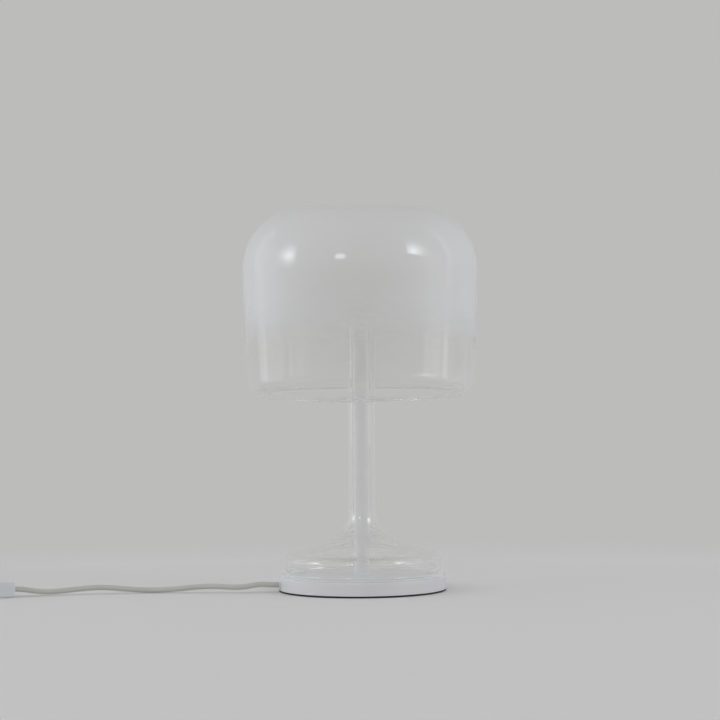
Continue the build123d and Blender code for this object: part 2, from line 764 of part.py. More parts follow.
def switch_blade():
    """Contact blade from the first terminal, rising under the rocker's pivot to just above the second."""
    start = SWITCH_L / 2 - TERMINAL_AT
    flat_z = SWITCH_WALL + TERMINAL_BLOCK[2]
    rise_z = pivot_z() - TRUNNION_R - BLADE_GAP - BLADE_T
    end = SWITCH_L / 2 + TERMINAL_AT
    under = [
        (start, flat_z),
        (start + TERMINAL_BLOCK[0] / 2, flat_z),
        (SWITCH_L / 2, rise_z),
        (end, flat_z + BLADE_OPEN),
    ]
    over = [(x, z + BLADE_T) for x, z in reversed(under)]
    strip = Plane.XZ * make_face(Polyline(*under, *over, close=True))
    return switch_place() * extrude(strip, BLADE_W / 2, both=True)


# Cord outside the lamp


def cord_to_switch():
    """Cord in low waves from the pan to the switch."""
    exit_dir = Vector(cos(radians(EXIT_ANGLE)), sin(radians(EXIT_ANGLE)))
    face = PAN_R + GROMMET_FLANGE_T
    start = exit_dir * face + Vector(0, 0, EXIT_Z)
    points = [start, exit_dir * (face + EXIT_RUN) + Vector(0, 0, EXIT_Z), *CORD_WAVES]
    for along in (-SWITCH_RUN, SWITCH_CORD_IN):
        points.append(tuple((switch_place() * Pos(along, 0, SWITCH_MID_Z)).position))
    return cord_along("cord_to_switch", route("cord_to_switch", [tuple(p) for p in points]))


def coil_start():
    """Where the coil's straight end begins: its place and heading past the switch."""
    return switch_place() * Pos(SWITCH_L + COIL_REACH, 0, COIL_Z)


def cord_to_coil():
    """Cord from the switch down to the coil."""
    lead = [
        (-SWITCH_CORD_IN, 0, SWITCH_MID_Z),
        (SWITCH_RUN, 0, SWITCH_MID_Z),
        *COIL_LEAD,
        (COIL_REACH - COIL_RUN, 0, COIL_Z),
        (COIL_REACH, 0, COIL_Z),
    ]
    points = [tuple((switch_place() * Pos(SWITCH_L + x, y, z)).position) for x, y, z in lead]
    return cord_along("cord_to_coil", route("cord_to_coil", points))


def coil_turns():
    """Turns of the coil, with the half turn in which it climbs."""
    return COIL_TURNS_IN + 0.5 + COIL_TURNS_OUT


def coil_polar(turn):
    """Radius and height of the coil after some turns: in on the floor, up in half a turn, and out on top."""
    inner_r = COIL_R - COIL_PITCH * COIL_TURNS_IN
    past = turn - COIL_TURNS_IN
    if past <= 0:
        return COIL_R - COIL_PITCH * turn, COIL_Z
    if past < 0.5:
        dip = COIL_PITCH / (2 * pi) * sin(2 * pi * past)
        return inner_r - dip, COIL_Z + COIL_CLIMB * (1 - cos(2 * pi * past)) / 2
    return inner_r + COIL_PITCH * (past - 0.5), COIL_Z + COIL_CLIMB


def coil_point(turn):
    """Point of the coil after some turns, clockwise from above, entered at the origin along X."""
    radius, height = coil_polar(turn)
    angle = pi / 2 - 2 * pi * turn
    return Vector(radius * cos(angle), radius * sin(angle) - COIL_R, height - COIL_Z)


def coil_heading(turn):
    """Direction of the coil after some turns."""
    step = 1e-4
    return (coil_point(turn + step) - coil_point(turn - step)).normalized()


def biarc(start, start_dir, end, end_dir):
    """Two arcs that join two points smoothly, each leaving and arriving in its given direction."""
    chord = end - start
    a = 2 * (1 - start_dir.dot(end_dir))
    b = 2 * chord.dot(start_dir + end_dir)
    reach = (sqrt(b * b + 4 * a * chord.dot(chord)) - b) / (2 * a)
    first, second = start + start_dir * reach, end - end_dir * reach
    joint = (first + second) * 0.5
    return [
        TangentArc(start, joint, tangent=start_dir),
        TangentArc(joint, end, tangent=second - first),
    ]


def coil_path():
    """Centre line of the coil, with a straight end of one diameter at each side."""
    count = round(coil_turns() * 4)
    stops = [coil_turns() * i / count for i in range(count + 1)]
    edges = [Line(coil_point(0) - coil_heading(0) * 2 * CORD_R, coil_point(0))]
    for low, high in zip(stops, stops[1:]):
        edges += biarc(coil_point(low), coil_heading(low), coil_point(high), coil_heading(high))
    last = coil_turns()
    edges.append(Line(coil_point(last), coil_point(last) + coil_heading(last) * 2 * CORD_R))
    return Wire(edges)


def coil_gap(path):
    """Least distance between the cord's own turns, measured on points along its centre line."""
    step = CORD_R / 2
    count = int(path.length / step)
    points = [path @ (i / count) for i in range(count + 1)]
    apart = int(pi * COIL_R / 2 / step)
    least = min(
        (points[i] - points[j]).length for i in range(len(points)) for j in range(i + apart, len(points))
    )
    return least - 2 * CORD_R


def coil_place():
    """Turns the coil's entry to meet the end of the cord that leads to it."""
    lean = degrees(atan2(coil_heading(0).Y, coil_heading(0).X))
    tail = (coil_point(0) - coil_heading(0) * 2 * CORD_R) * -1
    return coil_start() * Rot(0, 0, -lean) * Pos(*tail)


def cord_coil():
    """Coil of two layers, wound in and out again as one cord."""
    path = coil_path()
    print("cord_coil length", round(path.length, 1), "least gap", round(coil_gap(path), 2))
    return coil_place() * cord_along("cord_coil", path)


def cord_tie():
    """Flat band round the coil's two layers."""
    inner_r = COIL_R - COIL_PITCH * (COIL_TURNS_IN + 0.5)
    low = COIL_Z - CORD_R - TIE_GAP
    high = COIL_Z + COIL_CLIMB + CORD_R + TIE_GAP
    room_w = COIL_R - inner_r + 2 * (CORD_R + TIE_GAP)
    room_h = high - low
    band = RectangleRounded(room_w + 2 * TIE_T, room_h + 2 * TIE_T, TIE_ROUND + TIE_T)
    band -= RectangleRounded(room_w, room_h, TIE_ROUND)
    band = extrude(band, TIE_W / 2, both=True)
    middle = Pos((COIL_R + inner_r) / 2, 0, (low + high) / 2) * Rot(90, 0, 0) * band
    return coil_place() * Pos(0, -COIL_R, -COIL_Z) * Rot(0, 0, TIE_ANGLE) * middle


def plug_start():
    """Where the cord leaves the coil: its place on the floor and its heading."""
    last = coil_turns()
    end = coil_point(last) + coil_heading(last) * 2 * CORD_R
    heading = degrees(atan2(coil_heading(last).Y, coil_heading(last).X))
    return coil_place() * Pos(end.X, end.Y, -COIL_Z) * Rot(0, 0, heading)


def plug_place():
    """Where the plug lies on the floor, from its cord end."""
    return plug_start() * Pos(PLUG_REACH, 0, PLUG_T / 2)


def cord_to_plug():
    """Cord from the top of the coil down to the plug."""
    top_z = COIL_Z + COIL_CLIMB
    lead = [
        (0, 0, top_z),
        (PLUG_RUN, 0, top_z),
        *PLUG_LEAD,
        (PLUG_REACH - PLUG_RUN, 0, PLUG_T / 2),
        (PLUG_REACH, 0, PLUG_T / 2),
    ]
    points = [tuple((plug_start() * Pos(*point)).position) for point in lead]
    return cord_along("cord_to_plug", route("cord_to_plug", points))


def plug_body():
    """Flat moulded plug with a grooved, tapered strain relief."""
    tail = Plane(origin=(RELIEF_L, 0, 0), x_dir=(0, 1, 0), z_dir=(1, 0, 0))
    front = tail.offset(PLUG_L)
    narrow = tail * RectangleRounded(PLUG_TAIL_W, PLUG_TAIL_T, PLUG_ROUND)
    wide = front * RectangleRounded(PLUG_W, PLUG_T, PLUG_ROUND)
    body = loft([narrow, wide])
    mouth = Plane(origin=(0, 0, 0), z_dir=(1, 0, 0))
    relief = mouth * Cone(RELIEF_MOUTH_R, RELIEF_R, RELIEF_L, align=FOOT)
    pitch = RELIEF_L / (RELIEF_GROOVES + 1)
    for i in range(1, RELIEF_GROOVES + 1):
        core_r = RELIEF_MOUTH_R + (RELIEF_R - RELIEF_MOUTH_R) * i / (RELIEF_GROOVES + 1) - RELIEF_GROOVE_DEPTH
        span = (i * pitch - RELIEF_GROOVE / 2, i * pitch + RELIEF_GROOVE / 2)
        relief -= bar_x(RELIEF_R + RELIEF_GROOVE, *span) - bar_x(core_r, *span)
    body += relief
    end = RELIEF_L + PLUG_L
    for side in (-1, 1):
        body -= bar_x(PIN_CORE_R + THREAD_GAP, end - PIN_ROOT, end, y=side * PIN_SPACING / 2)
    return plug_place() * body


def plug_pins():
    """Two round pins, slimmer where their sleeves are."""
    end = RELIEF_L + PLUG_L
    pin = bar_x(PIN_CORE_R, end - PIN_ROOT, end + SLEEVE_L) + bar_x(PIN_R, end + SLEEVE_L, end + PIN_L)
    return group(plug_place() * Pos(0, side * PIN_SPACING / 2, 0) * pin for side in (-1, 1))


def pin_sleeves():
    """Insulating sleeves on the roots of the pins."""
    end = RELIEF_L + PLUG_L
    sleeve = bar_x(PIN_SLEEVE_R, end, end + SLEEVE_L) - bar_x(PIN_CORE_R + THREAD_GAP, end, end + SLEEVE_L)
    return group(plug_place() * Pos(0, side * PIN_SPACING / 2, 0) * sleeve for side in (-1, 1))


NODES = {
    "glass_shade": glass_shade(),
    "glass_foot": glass_foot(),
    "sleeve_tube": ring(SLEEVE_R - SLEEVE_WALL, SLEEVE_R, PLATEAU_Z, STEM_CAP_Z),
    "base_pan": base_pan(),
    "base_pad": disc(PAN_R, 0.0, PAD_T),
    "base_cover": base_cover(),
    "cover_screws": cover_screws(),
    "foot_gasket": ring(STEP_R + LOCATE_GAP, HEEL_R - HEEL_ROUND, SEAT_Z, FOOT_Z),
    "threaded_rod": ring(ROD_BORE_R, ROD_R, ROD_FOOT_Z, ROD_TOP_Z),
    "base_washer": ring(ROD_HOLE_R, WASHER_R, BASE_NUT_Z + NUT_T, PLATEAU_Z - SHEET),
    "base_nut": hex_nut(NUT_ACROSS, ROD_HOLE_R, BASE_NUT_Z, BASE_NUT_Z + NUT_T),
    "stem_gasket": ring(STEM_BORE_R, STEM_R, STEM_TOP_Z, STEM_CAP_Z),
    "stem_cap": stem_cap(),
    "cap_nut": hex_nut(NUT_ACROSS, ROD_HOLE_R, CAP_NUT_Z, CAP_NUT_Z + NUT_T),
    "holder_cap": holder_cap(),
    "holder_body": holder_body(),
    "holder_insert": disc(INSERT_R, INSERT_Z, INSERT_TOP_Z),
    "holder_shell": ring(SOCKET_R, SOCKET_R + SOCKET_WALL, INSERT_TOP_Z, INSERT_TOP_Z + SOCKET_H),
    "holder_contact": disc(CONTACT_R, INSERT_TOP_Z, BULB_TIP_Z),
    "terminal_screws": terminal_screws(),
    "bulb_globe": bulb_globe(),
    "bulb_neck": bulb_neck(),
    "bulb_shell": ring(BULB_SHELL_R - BULB_SHELL_WALL, BULB_SHELL_R, BULB_SHELL_Z, NECK_Z),
    "bulb_insulator": bulb_insulator(),
    "bulb_tip": disc(TIP_R, BULB_TIP_Z, BULB_TIP_Z + TIP_H),
    "shade_carrier": shade_carrier(),
    "carrier_ring": ring(SKIRT_R + THREAD_GAP, RING_R, FLANGE_TOP_Z + HUB_T, FLANGE_TOP_Z + HUB_T + RING_T),
    "carrier_tips": carrier_tips(),
    "cord_grommet": cord_grommet(),
    "cord_clamp": cord_clamp(),
    "clamp_nuts": clamp_nuts(),
    "cord_inner": cord_inner(),
    "core_brown": core(-1),
    "core_blue": core(1),
    "cord_to_switch": cord_to_switch(),
    "switch_base": switch_base(),
    "switch_cover": switch_cover(),
    "switch_rocker": switch_rocker(),
    "switch_screws": switch_screws(),
    "switch_terminals": switch_terminals(),
    "switch_blade": switch_blade(),
    "cord_to_coil": cord_to_coil(),
    "cord_coil": cord_coil(),
    "cord_tie": cord_tie(),
    "cord_to_plug": cord_to_plug(),
    "plug_body": plug_body(),
    "pin_sleeves": pin_sleeves(),
    "plug_pins": plug_pins(),
}

os.makedirs("parts", exist_ok=True)
for node, shape in NODES.items():
    export_step(shape, f"parts/{node}.step")
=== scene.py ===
"""Bedside lamp: a glass dome, opal above and clear below, on a glass stem and foot, with its flex and plug.

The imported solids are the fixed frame. This script turns the smooth glass, lays the flex, dresses every piece
with its finish, and sets up the studio and the camera. Sizes of pieces are in millimetres, those of finishes
and of the studio in metres, and outlines are (radius, height) pairs.
"""

import logging
import math
from dataclasses import dataclass
from enum import Enum
from typing import Sequence

import bmesh
import bpy
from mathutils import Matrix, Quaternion, Vector


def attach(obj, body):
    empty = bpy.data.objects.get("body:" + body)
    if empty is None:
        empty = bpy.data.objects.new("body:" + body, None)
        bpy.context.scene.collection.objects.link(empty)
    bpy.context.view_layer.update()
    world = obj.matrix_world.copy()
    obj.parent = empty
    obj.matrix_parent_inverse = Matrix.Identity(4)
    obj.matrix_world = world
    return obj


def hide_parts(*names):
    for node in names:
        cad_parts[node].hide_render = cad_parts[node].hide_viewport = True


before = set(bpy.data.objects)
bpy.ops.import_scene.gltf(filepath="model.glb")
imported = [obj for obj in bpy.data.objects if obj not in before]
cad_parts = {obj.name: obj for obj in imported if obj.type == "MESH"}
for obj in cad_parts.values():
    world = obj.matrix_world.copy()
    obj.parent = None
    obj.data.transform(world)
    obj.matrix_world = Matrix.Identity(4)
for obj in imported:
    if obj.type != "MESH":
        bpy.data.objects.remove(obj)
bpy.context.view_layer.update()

Pair = tuple[float, float]
Triple = tuple[float, float, float]
Rgba = tuple[float, float, float, float]
Graph = bpy.types.NodeTree
Node = bpy.types.Node
Socket = bpy.types.NodeSocket
Sockets = bpy.types.NodeOutputs
Material = bpy.types.Material
Mesh = bpy.types.Mesh
Piece = bpy.types.Object

LOG = logging.getLogger("bedside_lamp")
# Metres in a millimetre.
MM = 0.001
# Edges that bend more than this stay crisp.
SHARP_ANGLE = math.radians(35.0)
# Points closer than this, in metres, become one.
MERGE_DISTANCE = 1e-6
# A ray's counters are whole numbers, so a half tells none from some.
NONE_YET = 0.5
# After five bounces light leaves the glass unbent.
TRAPPED_AFTER = 5.5
# Both ends of a share.
SHARE: Pair = (0.0, 1.0)
# The stretches of a pattern's range over which colour and gloss change, and the pattern's middle.
MOTTLE_BAND: Pair = (0.35, 0.65)
GRAIN_BAND: Pair = (0.3, 0.7)
PATTERN_MIDDLE = 0.5
# Octaves of the mottle and grain, of the glass's slow waves, and of the mist in the opal.
GRAIN_OCTAVES = 3.0
WAVE_OCTAVES = 1.0
MIST_OCTAVES = 0.0
# A studio light's own directions across, up and out.
FACE_ACROSS = Vector((1.0, 0.0, 0.0))
FACE_UP = Vector((0.0, 1.0, 0.0))
FACE_OUT = Vector((0.0, 0.0, 1.0))


class Body(Enum):
    """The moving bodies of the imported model."""

    LAMP = "lamp"
    SHADE = "shade"
    ROCKER = "rocker"


class Slot(Enum):
    """Names of the record's material slots; nothing in this script reads them."""

    OPAL_GLASS = "opal_glass"
    CLEAR_GLASS = "clear_glass"
    LACQUER = "white_lacquer"
    PAD = "black_pad"
    HOLDER = "holder_plastic"
    FLEX = "white_flex"


# Finishes


class Ease(Enum):
    """How a value goes from one end of its range to the other."""

    EVEN = "LINEAR"
    SOFT = "SMOOTHSTEP"


class Tree:
    """A node tree under construction."""

    def __init__(self, tree: Graph) -> None:
        """Takes the tree to work on."""
        self.tree = tree

    def find(self, kind: str) -> Node:
        """The tree's own node of a type, such as its output."""
        return next(node for node in self.tree.nodes if node.type == kind)

    def add(self, kind: str, values: dict | None = None, **settings: object) -> Node:
        """Adds a node.

        Args:
            kind: the node's type.
            values: its inputs, each a plain value or a socket to link.
            settings: its own properties.

        Returns:
            The new node.
        """
        node = self.tree.nodes.new(kind)
        for key, value in settings.items():
            setattr(node, key, value)
        self.fill(node, values or {})
        return node

    def fill(self, node: Node, values: dict) -> None:
        """Sets or links a node's inputs.

        Args:
            node: the node.
            values: input names or numbers, each with a plain value or a socket to link.
        """
        for key, value in values.items():
            if isinstance(value, Socket):
                self.tree.links.new(value, node.inputs[key])
            else:
                node.inputs[key].default_value = value

    def math(self, operation: str, first: object, second: object = 0.0) -> Socket:
        """One sum.

        Args:
            operation: the Math node's operation.
            first: a value or socket.
            second: a value or socket.

        Returns:
            The result.
        """
        return self.add("ShaderNodeMath", {0: first, 1: second}, operation=operation).outputs[0]

    def spread(self, value: Socket, source: Pair, target: Pair, ease: Ease) -> Socket:
        """Carries a value from one range to another.

        Args:
            value: the value.
            source: the range that it has.
            target: the range that it gets.
            ease: how it goes between the ends.

        Returns:
            The value in its new range.
        """
        ends = dict(zip(("From Min", "From Max", "To Min", "To Max"), (*source, *target)))
        values = {"Value": value, **ends}
        return self.add("ShaderNodeMapRange", values, interpolation_type=ease.value).outputs["Result"]

    def blend(self, share: Socket, first: object, second: object) -> Socket:
        """Mixes two colours.

        Args:
            share: how much of the second.
            first: a colour or socket.
            second: a colour or socket.

        Returns:
            The mixed colour.
        """
        values = {"Factor": share, "A": first, "B": second}
        return self.add("ShaderNodeMix", values, data_type="RGBA").outputs["Result"]


class Bench(Tree):
    """One node material under construction, around its Principled shader."""

    def __init__(self, name: str) -> None:
        """Starts a material.

        Args:
            name: the material's name.
        """
        self.material = bpy.data.materials.new(name)
        self.material.use_nodes = True
        super().__init__(self.material.node_tree)
        self.shader = self.find("BSDF_PRINCIPLED")
        self.output = self.find("OUTPUT_MATERIAL")
        self.place = self.add("ShaderNodeTexCoord").outputs["Object"]

    def lets_light_in(self, colour: object) -> None:
        """Lets light through, unbent, to the matt pieces behind, and out once it is trapped in the glass.

        Args:
            colour: how much light passes each face, a colour or socket.
        """
        path = self.add("ShaderNodeLightPath").outputs
        matt = self.math("MAXIMUM", path["Is Shadow Ray"], path["Is Diffuse Ray"])
        trapped = self.math("GREATER_THAN", path["Ray Depth"], TRAPPED_AFTER)
        straight = self.math("MAXIMUM", matt, trapped)
        clear = self.add("ShaderNodeBsdfTransparent", {"Color": colour}).outputs[0]
        mix = self.add("ShaderNodeMixShader", {0: straight, 1: self.shader.outputs[0], 2: clear})
        self.fill(self.output, {"Surface": mix.outputs[0]})

    def noise(self, scale: float, octaves: float) -> Socket:
        """Even cloudy pattern in the piece's own space.

        Args:
            scale: features to the metre.
            octaves: how many finer patterns are added to it.

        Returns:
            The pattern's value.
        """
        values = {"Vector": self.place, "Scale": scale, "Detail": octaves}
        return self.add("ShaderNodeTexNoise", values).outputs["Fac"]

    def relief(self, height: Socket, depth: float) -> None:
        """Gives the shader a fine relief.

        Args:
            height: pattern from 0 to 1.
            depth: its full height in metres.
        """
        values = {"Height": height, "Distance": depth, "Strength": 1.0}
        self.fill(self.shader, {"Normal": self.add("ShaderNodeBump", values).outputs["Normal"]})


def grey(level: float, warm: float = 0.0) -> Rgba:
    """A near-neutral colour.

    Args:
        level: its linear brightness.
        warm: how much red gains and blue loses.

    Returns:
        The colour.
    """
    return (level + warm, level, level - warm, 1.0)


@dataclass(frozen=True)
class Satin:
    """An opaque finish with a slight mottle, an uneven gloss and a fine relief."""

    name: str
    colour: Rgba
    shade: Rgba
    roughness: Pair
    mottle_scale: float
    grain_scale: float
    grain_depth: float
    metallic: float = 0.0
    coat: float = 0.0
    sheen: float = 0.0

    def make(self) -> Material:
        """Builds the material.

        Returns:
            The material.
        """
        bench = Bench(self.name)
        mottle = bench.noise(self.mottle_scale, GRAIN_OCTAVES)
        grain = bench.noise(self.grain_scale, GRAIN_OCTAVES)
        share = bench.spread(mottle, MOTTLE_BAND, SHARE, Ease.SOFT)
        bench.fill(bench.shader, {
            "Base Color": bench.blend(share, self.colour, self.shade),
            "Roughness": bench.spread(grain, GRAIN_BAND, self.roughness, Ease.EVEN),
            "Metallic": self.metallic,
            "Coat Weight": self.coat,
            "Sheen Weight": self.sheen,
        })
        bench.relief(grain, self.grain_depth)
        return bench.material


@dataclass(frozen=True)
class BlownGlass:
    """Clear blown glass, with the slight waves that blowing leaves."""

    name: str
    tint: Rgba
    ior: float = 1.5
    roughness: float = 0.0
    wave_scale: float = 14.0
    wave_depth: float = 0.00003

    def make(self) -> Material:
        """Builds the material.

        Returns:
            The material.
        """
        bench = Bench(self.name)
        bench.fill(bench.shader, {
            "Base Color": self.tint,
            "Roughness": self.roughness,
            "IOR": self.ior,
            "Transmission Weight": 1.0,
        })
        bench.relief(bench.noise(self.wave_scale, WAVE_OCTAVES), self.wave_depth)
        bench.lets_light_in(self.tint)
        return bench.material


@dataclass(frozen=True)
class FadingOpal:
    """Blown glass with an opal layer that fades out downwards, a rim corner lightened as painted light, a
    softer lip and two mould seams.

    Heights, widths and depths are in metres. The mist makes the fade ragged, the glow is the light that
    passes the opal, and a bleed below one lets the opal's colour begin before its milk.
    """

    name: str
    # Clear tint of the rim corner, lighter than the clear glass above: painted light for the bright floor that
    # the curved corner shows.
    rim: Rgba
    clear: Rgba
    opal: Rgba
    fade: Pair = (0.256, 0.318)
    painted_rim_light_fade: Pair = (0.222, 0.234)
    lip_fade: Pair = (0.2, 0.208)
    seam_angle: float = 22.6
    seam_width: float = 0.0016
    seam_depth: float = 0.00006
    ior: float = 1.5
    lip_roughness: float = 0.25
    wave_scale: float = 9.0
    wave_depth: float = 0.00005
    mist_scale: float = 5000.0
    ragged: float = 0.07
    glow: float = 0.92
    bleed: float = 0.7

    def make(self) -> Material:
        """Builds the material.

        Returns:
            The material.
        """
        bench = Bench(self.name)
        wave = bench.noise(self.wave_scale, WAVE_OCTAVES)
        parts = bench.add("ShaderNodeSeparateXYZ", {0: bench.place}).outputs
        mist = bench.noise(self.mist_scale, MIST_OCTAVES)
        drift = bench.math("MULTIPLY", bench.math("SUBTRACT", mist, PATTERN_MIDDLE), self.ragged)
        height = bench.math("ADD", parts["Z"], drift)
        milk = bench.spread(height, self.fade, SHARE, Ease.SOFT)
        glassy = bench.math("SUBTRACT", 1.0, milk)
        # Below the rim band the glass takes the lighter rim tint, painted light in the corner.
        above_painted_rim_light = bench.spread(height, self.painted_rim_light_fade, SHARE, Ease.SOFT)
        clear = bench.blend(above_painted_rim_light, self.rim, self.clear)
        bench.fill(bench.shader, {
            "Base Color": bench.blend(bench.math("POWER", milk, self.bleed), clear, self.opal),
            "Roughness": bench.spread(parts["Z"], self.lip_fade, (self.lip_roughness, 0.0), Ease.SOFT),
            "IOR": self.ior,
            "Transmission Weight": glassy,
        })
        bench.relief(self.height(bench, parts, wave, glassy), self.wave_depth)
        bench.lets_light_in(bench.blend(milk, clear, grey(self.glow)))
        return bench.material

    def height(self, bench: Bench, parts: Sockets, wave: Socket, glassy: Socket) -> Socket:
        """The waves of the glass, and below the opal the ridges that the two halves of its mould leave.

        Args:
            bench: the material under construction.
            parts: the split position.
            wave: the waves.
            glassy: how clear the glass is.

        Returns:
            The relief's height.
        """
        angle = math.radians(self.seam_angle)
        across = bench.math(
            "ADD",
            bench.math("MULTIPLY", parts["X"], math.cos(angle)),
            bench.math("MULTIPLY", parts["Y"], math.sin(angle)),
        )
        aside = bench.math("ABSOLUTE", across)
        ridge = bench.spread(aside, (0.0, self.seam_width), (1.0, 0.0), Ease.SOFT)
        seam = bench.math("MULTIPLY", ridge, self.seam_depth / self.wave_depth)
        return bench.math("ADD", wave, bench.math("MULTIPLY", seam, glassy))


WHITE_LACQUER = Satin(
    "white_lacquer", grey(0.715, 0.003), grey(0.695, 0.003), roughness=(0.32, 0.4),
    mottle_scale=18.0, grain_scale=900.0, grain_depth=0.00001, coat=0.25,
)
# The sleeve's white lacquer, made lighter than the base's as painted light for the light that the pan throws
# up into the stem.
SLEEVE_LACQUER_PAINTED_LIGHT = Satin(
    "white_sleeve", grey(0.748, 0.004), grey(0.728, 0.004), roughness=(0.34, 0.42),
    mottle_scale=18.0, grain_scale=900.0, grain_depth=0.00001,
)
WHITE_WIRE = Satin(
    "white_wire", grey(0.7), grey(0.67), roughness=(0.35, 0.45),
    mottle_scale=30.0, grain_scale=1200.0, grain_depth=0.00001,
)
BLACK_FOAM = Satin(
    "black_foam", grey(0.012), grey(0.02), roughness=(0.8, 0.95),
    mottle_scale=120.0, grain_scale=1500.0, grain_depth=0.0002, sheen=0.1,
)
ZINC = Satin(
    "zinc_plate", grey(0.55), grey(0.48, 0.01), roughness=(0.28, 0.42),
    mottle_scale=90.0, grain_scale=1400.0, grain_depth=0.00001, metallic=1.0,
)
NICKEL = Satin(
    "nickel_plate", grey(0.62, 0.015), grey(0.56, 0.015), roughness=(0.2, 0.32),
    mottle_scale=120.0, grain_scale=1600.0, grain_depth=0.000006, metallic=1.0,
)
BRASS = Satin(
    "bare_brass", (0.68, 0.47, 0.2, 1.0), (0.58, 0.38, 0.15, 1.0), roughness=(0.25, 0.4),
    mottle_scale=110.0, grain_scale=1500.0, grain_depth=0.000008, metallic=1.0,
)
ALUMINIUM = Satin(
    "bulb_cap", grey(0.6), grey(0.54), roughness=(0.25, 0.38),
    mottle_scale=110.0, grain_scale=1500.0, grain_depth=0.000008, metallic=1.0,
)
SILICONE = Satin(
    "soft_silicone", grey(0.82), grey(0.78), roughness=(0.5, 0.62),
    mottle_scale=70.0, grain_scale=900.0, grain_depth=0.00001, sheen=0.2,
)
HOLDER_WHITE = Satin(
    "holder_plastic", grey(0.68, 0.01), grey(0.65, 0.012), roughness=(0.38, 0.5),
    mottle_scale=60.0, grain_scale=1800.0, grain_depth=0.00002,
)
INSERT_WHITE = Satin(
    "insert_plastic", grey(0.66, 0.015), grey(0.62, 0.015), roughness=(0.55, 0.7),
    mottle_scale=60.0, grain_scale=1500.0, grain_depth=0.00002,
)
VINYL = Satin(
    "white_vinyl", (0.548, 0.55, 0.511, 1.0), (0.523, 0.525, 0.486, 1.0), roughness=(0.38, 0.5),
    mottle_scale=40.0, grain_scale=1100.0, grain_depth=0.00003, sheen=0.1,
)
SWITCH_WHITE = Satin(
    "switch_plastic", grey(0.69, -0.008), grey(0.67, -0.006), roughness=(0.3, 0.42),
    mottle_scale=50.0, grain_scale=2200.0, grain_depth=0.00002,
)
PLUG_WHITE = Satin(
    "plug_plastic", grey(0.64), grey(0.61, 0.004), roughness=(0.32, 0.45),
    mottle_scale=50.0, grain_scale=2000.0, grain_depth=0.00003,
)
TIE_WHITE = Satin(
    "tie_band", grey(0.6), grey(0.56), roughness=(0.4, 0.55),
    mottle_scale=80.0, grain_scale=1500.0, grain_depth=0.00003,
)
CORE_BROWN = Satin(
    "brown_core", (0.12, 0.05, 0.025, 1.0), (0.1, 0.04, 0.02, 1.0), roughness=(0.4, 0.5),
    mottle_scale=60.0, grain_scale=1200.0, grain_depth=0.00002,
)
CORE_BLUE = Satin(
    "blue_core", (0.02, 0.07, 0.3, 1.0), (0.02, 0.06, 0.26, 1.0), roughness=(0.4, 0.5),
    mottle_scale=60.0, grain_scale=1200.0, grain_depth=0.00002,
)
BULB_OPAL = Satin(
    "bulb_opal", grey(0.74, 0.005), grey(0.72, 0.006), roughness=(0.12, 0.18),
    mottle_scale=30.0, grain_scale=600.0, grain_depth=0.000004, coat=0.5,
)
CLEAR_GLASS = BlownGlass("clear_glass", (0.985, 0.986, 0.978, 1.0))
# The rim tint is lighter than the clear tint: painted light in the rim corner.
OPAL_GLASS = FadingOpal(
    "fading_opal", rim=(0.985, 0.985, 0.98, 1.0), clear=(0.962, 0.962, 0.953, 1.0),
    opal=(0.703, 0.7, 0.67, 1.0),
)


# Shapes


def arc(centre: Pair, radius: float, start: float, end: float, steps: int) -> list[Pair]:
    """Points of an arc in an outline.

    Args:
        centre: its centre.
        radius: its radius.
        start: angle of its first end, in degrees.
        end: angle of its last end, in degrees.
        steps: how many pieces it has.

    Returns:
        The points, both ends included.
    """
    angles = [math.radians(start + (end - start) * i / steps) for i in range(steps + 1)]
    return [(centre[0] + radius * math.cos(a), centre[1] + radius * math.sin(a)) for a in angles]


def run(start: Pair, end: Pair, steps: int) -> list[Pair]:
    """Points between two points of an outline, without its ends.

    Args:
        start: the first end.
        end: the last end.
        steps: how many pieces the run has.

    Returns:
        The points between.
    """
    shares = [i / steps for i in range(1, steps)]
    return [(start[0] + (end[0] - start[0]) * s, start[1] + (end[1] - start[1]) * s) for s in shares]


def shifted(base: Pair, yaw: float, point: Triple) -> Triple:
    """Turns a point about the vertical and moves it to its base on the floor.

    Args:
        base: where the point's own origin lies.
        yaw: its turn in degrees.
        point: the point.

    Returns:
        The point in the lamp's frame.
    """
    c, s = math.cos(math.radians(yaw)), math.sin(math.radians(yaw))
    return (base[0] + c * point[0] - s * point[1], base[1] + s * point[0] + c * point[1], point[2])


def new_object(name: str, data: bpy.types.ID) -> Piece:
    """Puts an object into the scene.

    Args:
        name: the object's name.
        data: its mesh, curve, lamp or camera.

    Returns:
        The object, at the origin.
    """
    piece = bpy.data.objects.new(name, data)
    bpy.context.scene.collection.objects.link(piece)
    return piece


def seat(piece: Piece, body: Body, stands_for: Sequence[str] = ()) -> None:
    """Lets a piece ride on its body and hides the solids that it stands for.

    Args:
        piece: the finished piece.
        body: the body that it moves with.
        stands_for: the solids that it hides.
    """
    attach(piece, body.value)
    if stands_for:
        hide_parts(*stands_for)
    LOG.info("piece %s rides on %s", piece.name, body.value)


def dress(material: Material, nodes: Sequence[str]) -> None:
    """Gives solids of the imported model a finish.

    Args:
        material: the finish.
        nodes: their names.
    """
    for name in nodes:
        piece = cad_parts[name]
        if not piece.material_slots:
            piece.data.materials.append(material)
        for place in piece.material_slots:
            place.material = material
        LOG.info("solid %s is dressed with %s", name, material.name)


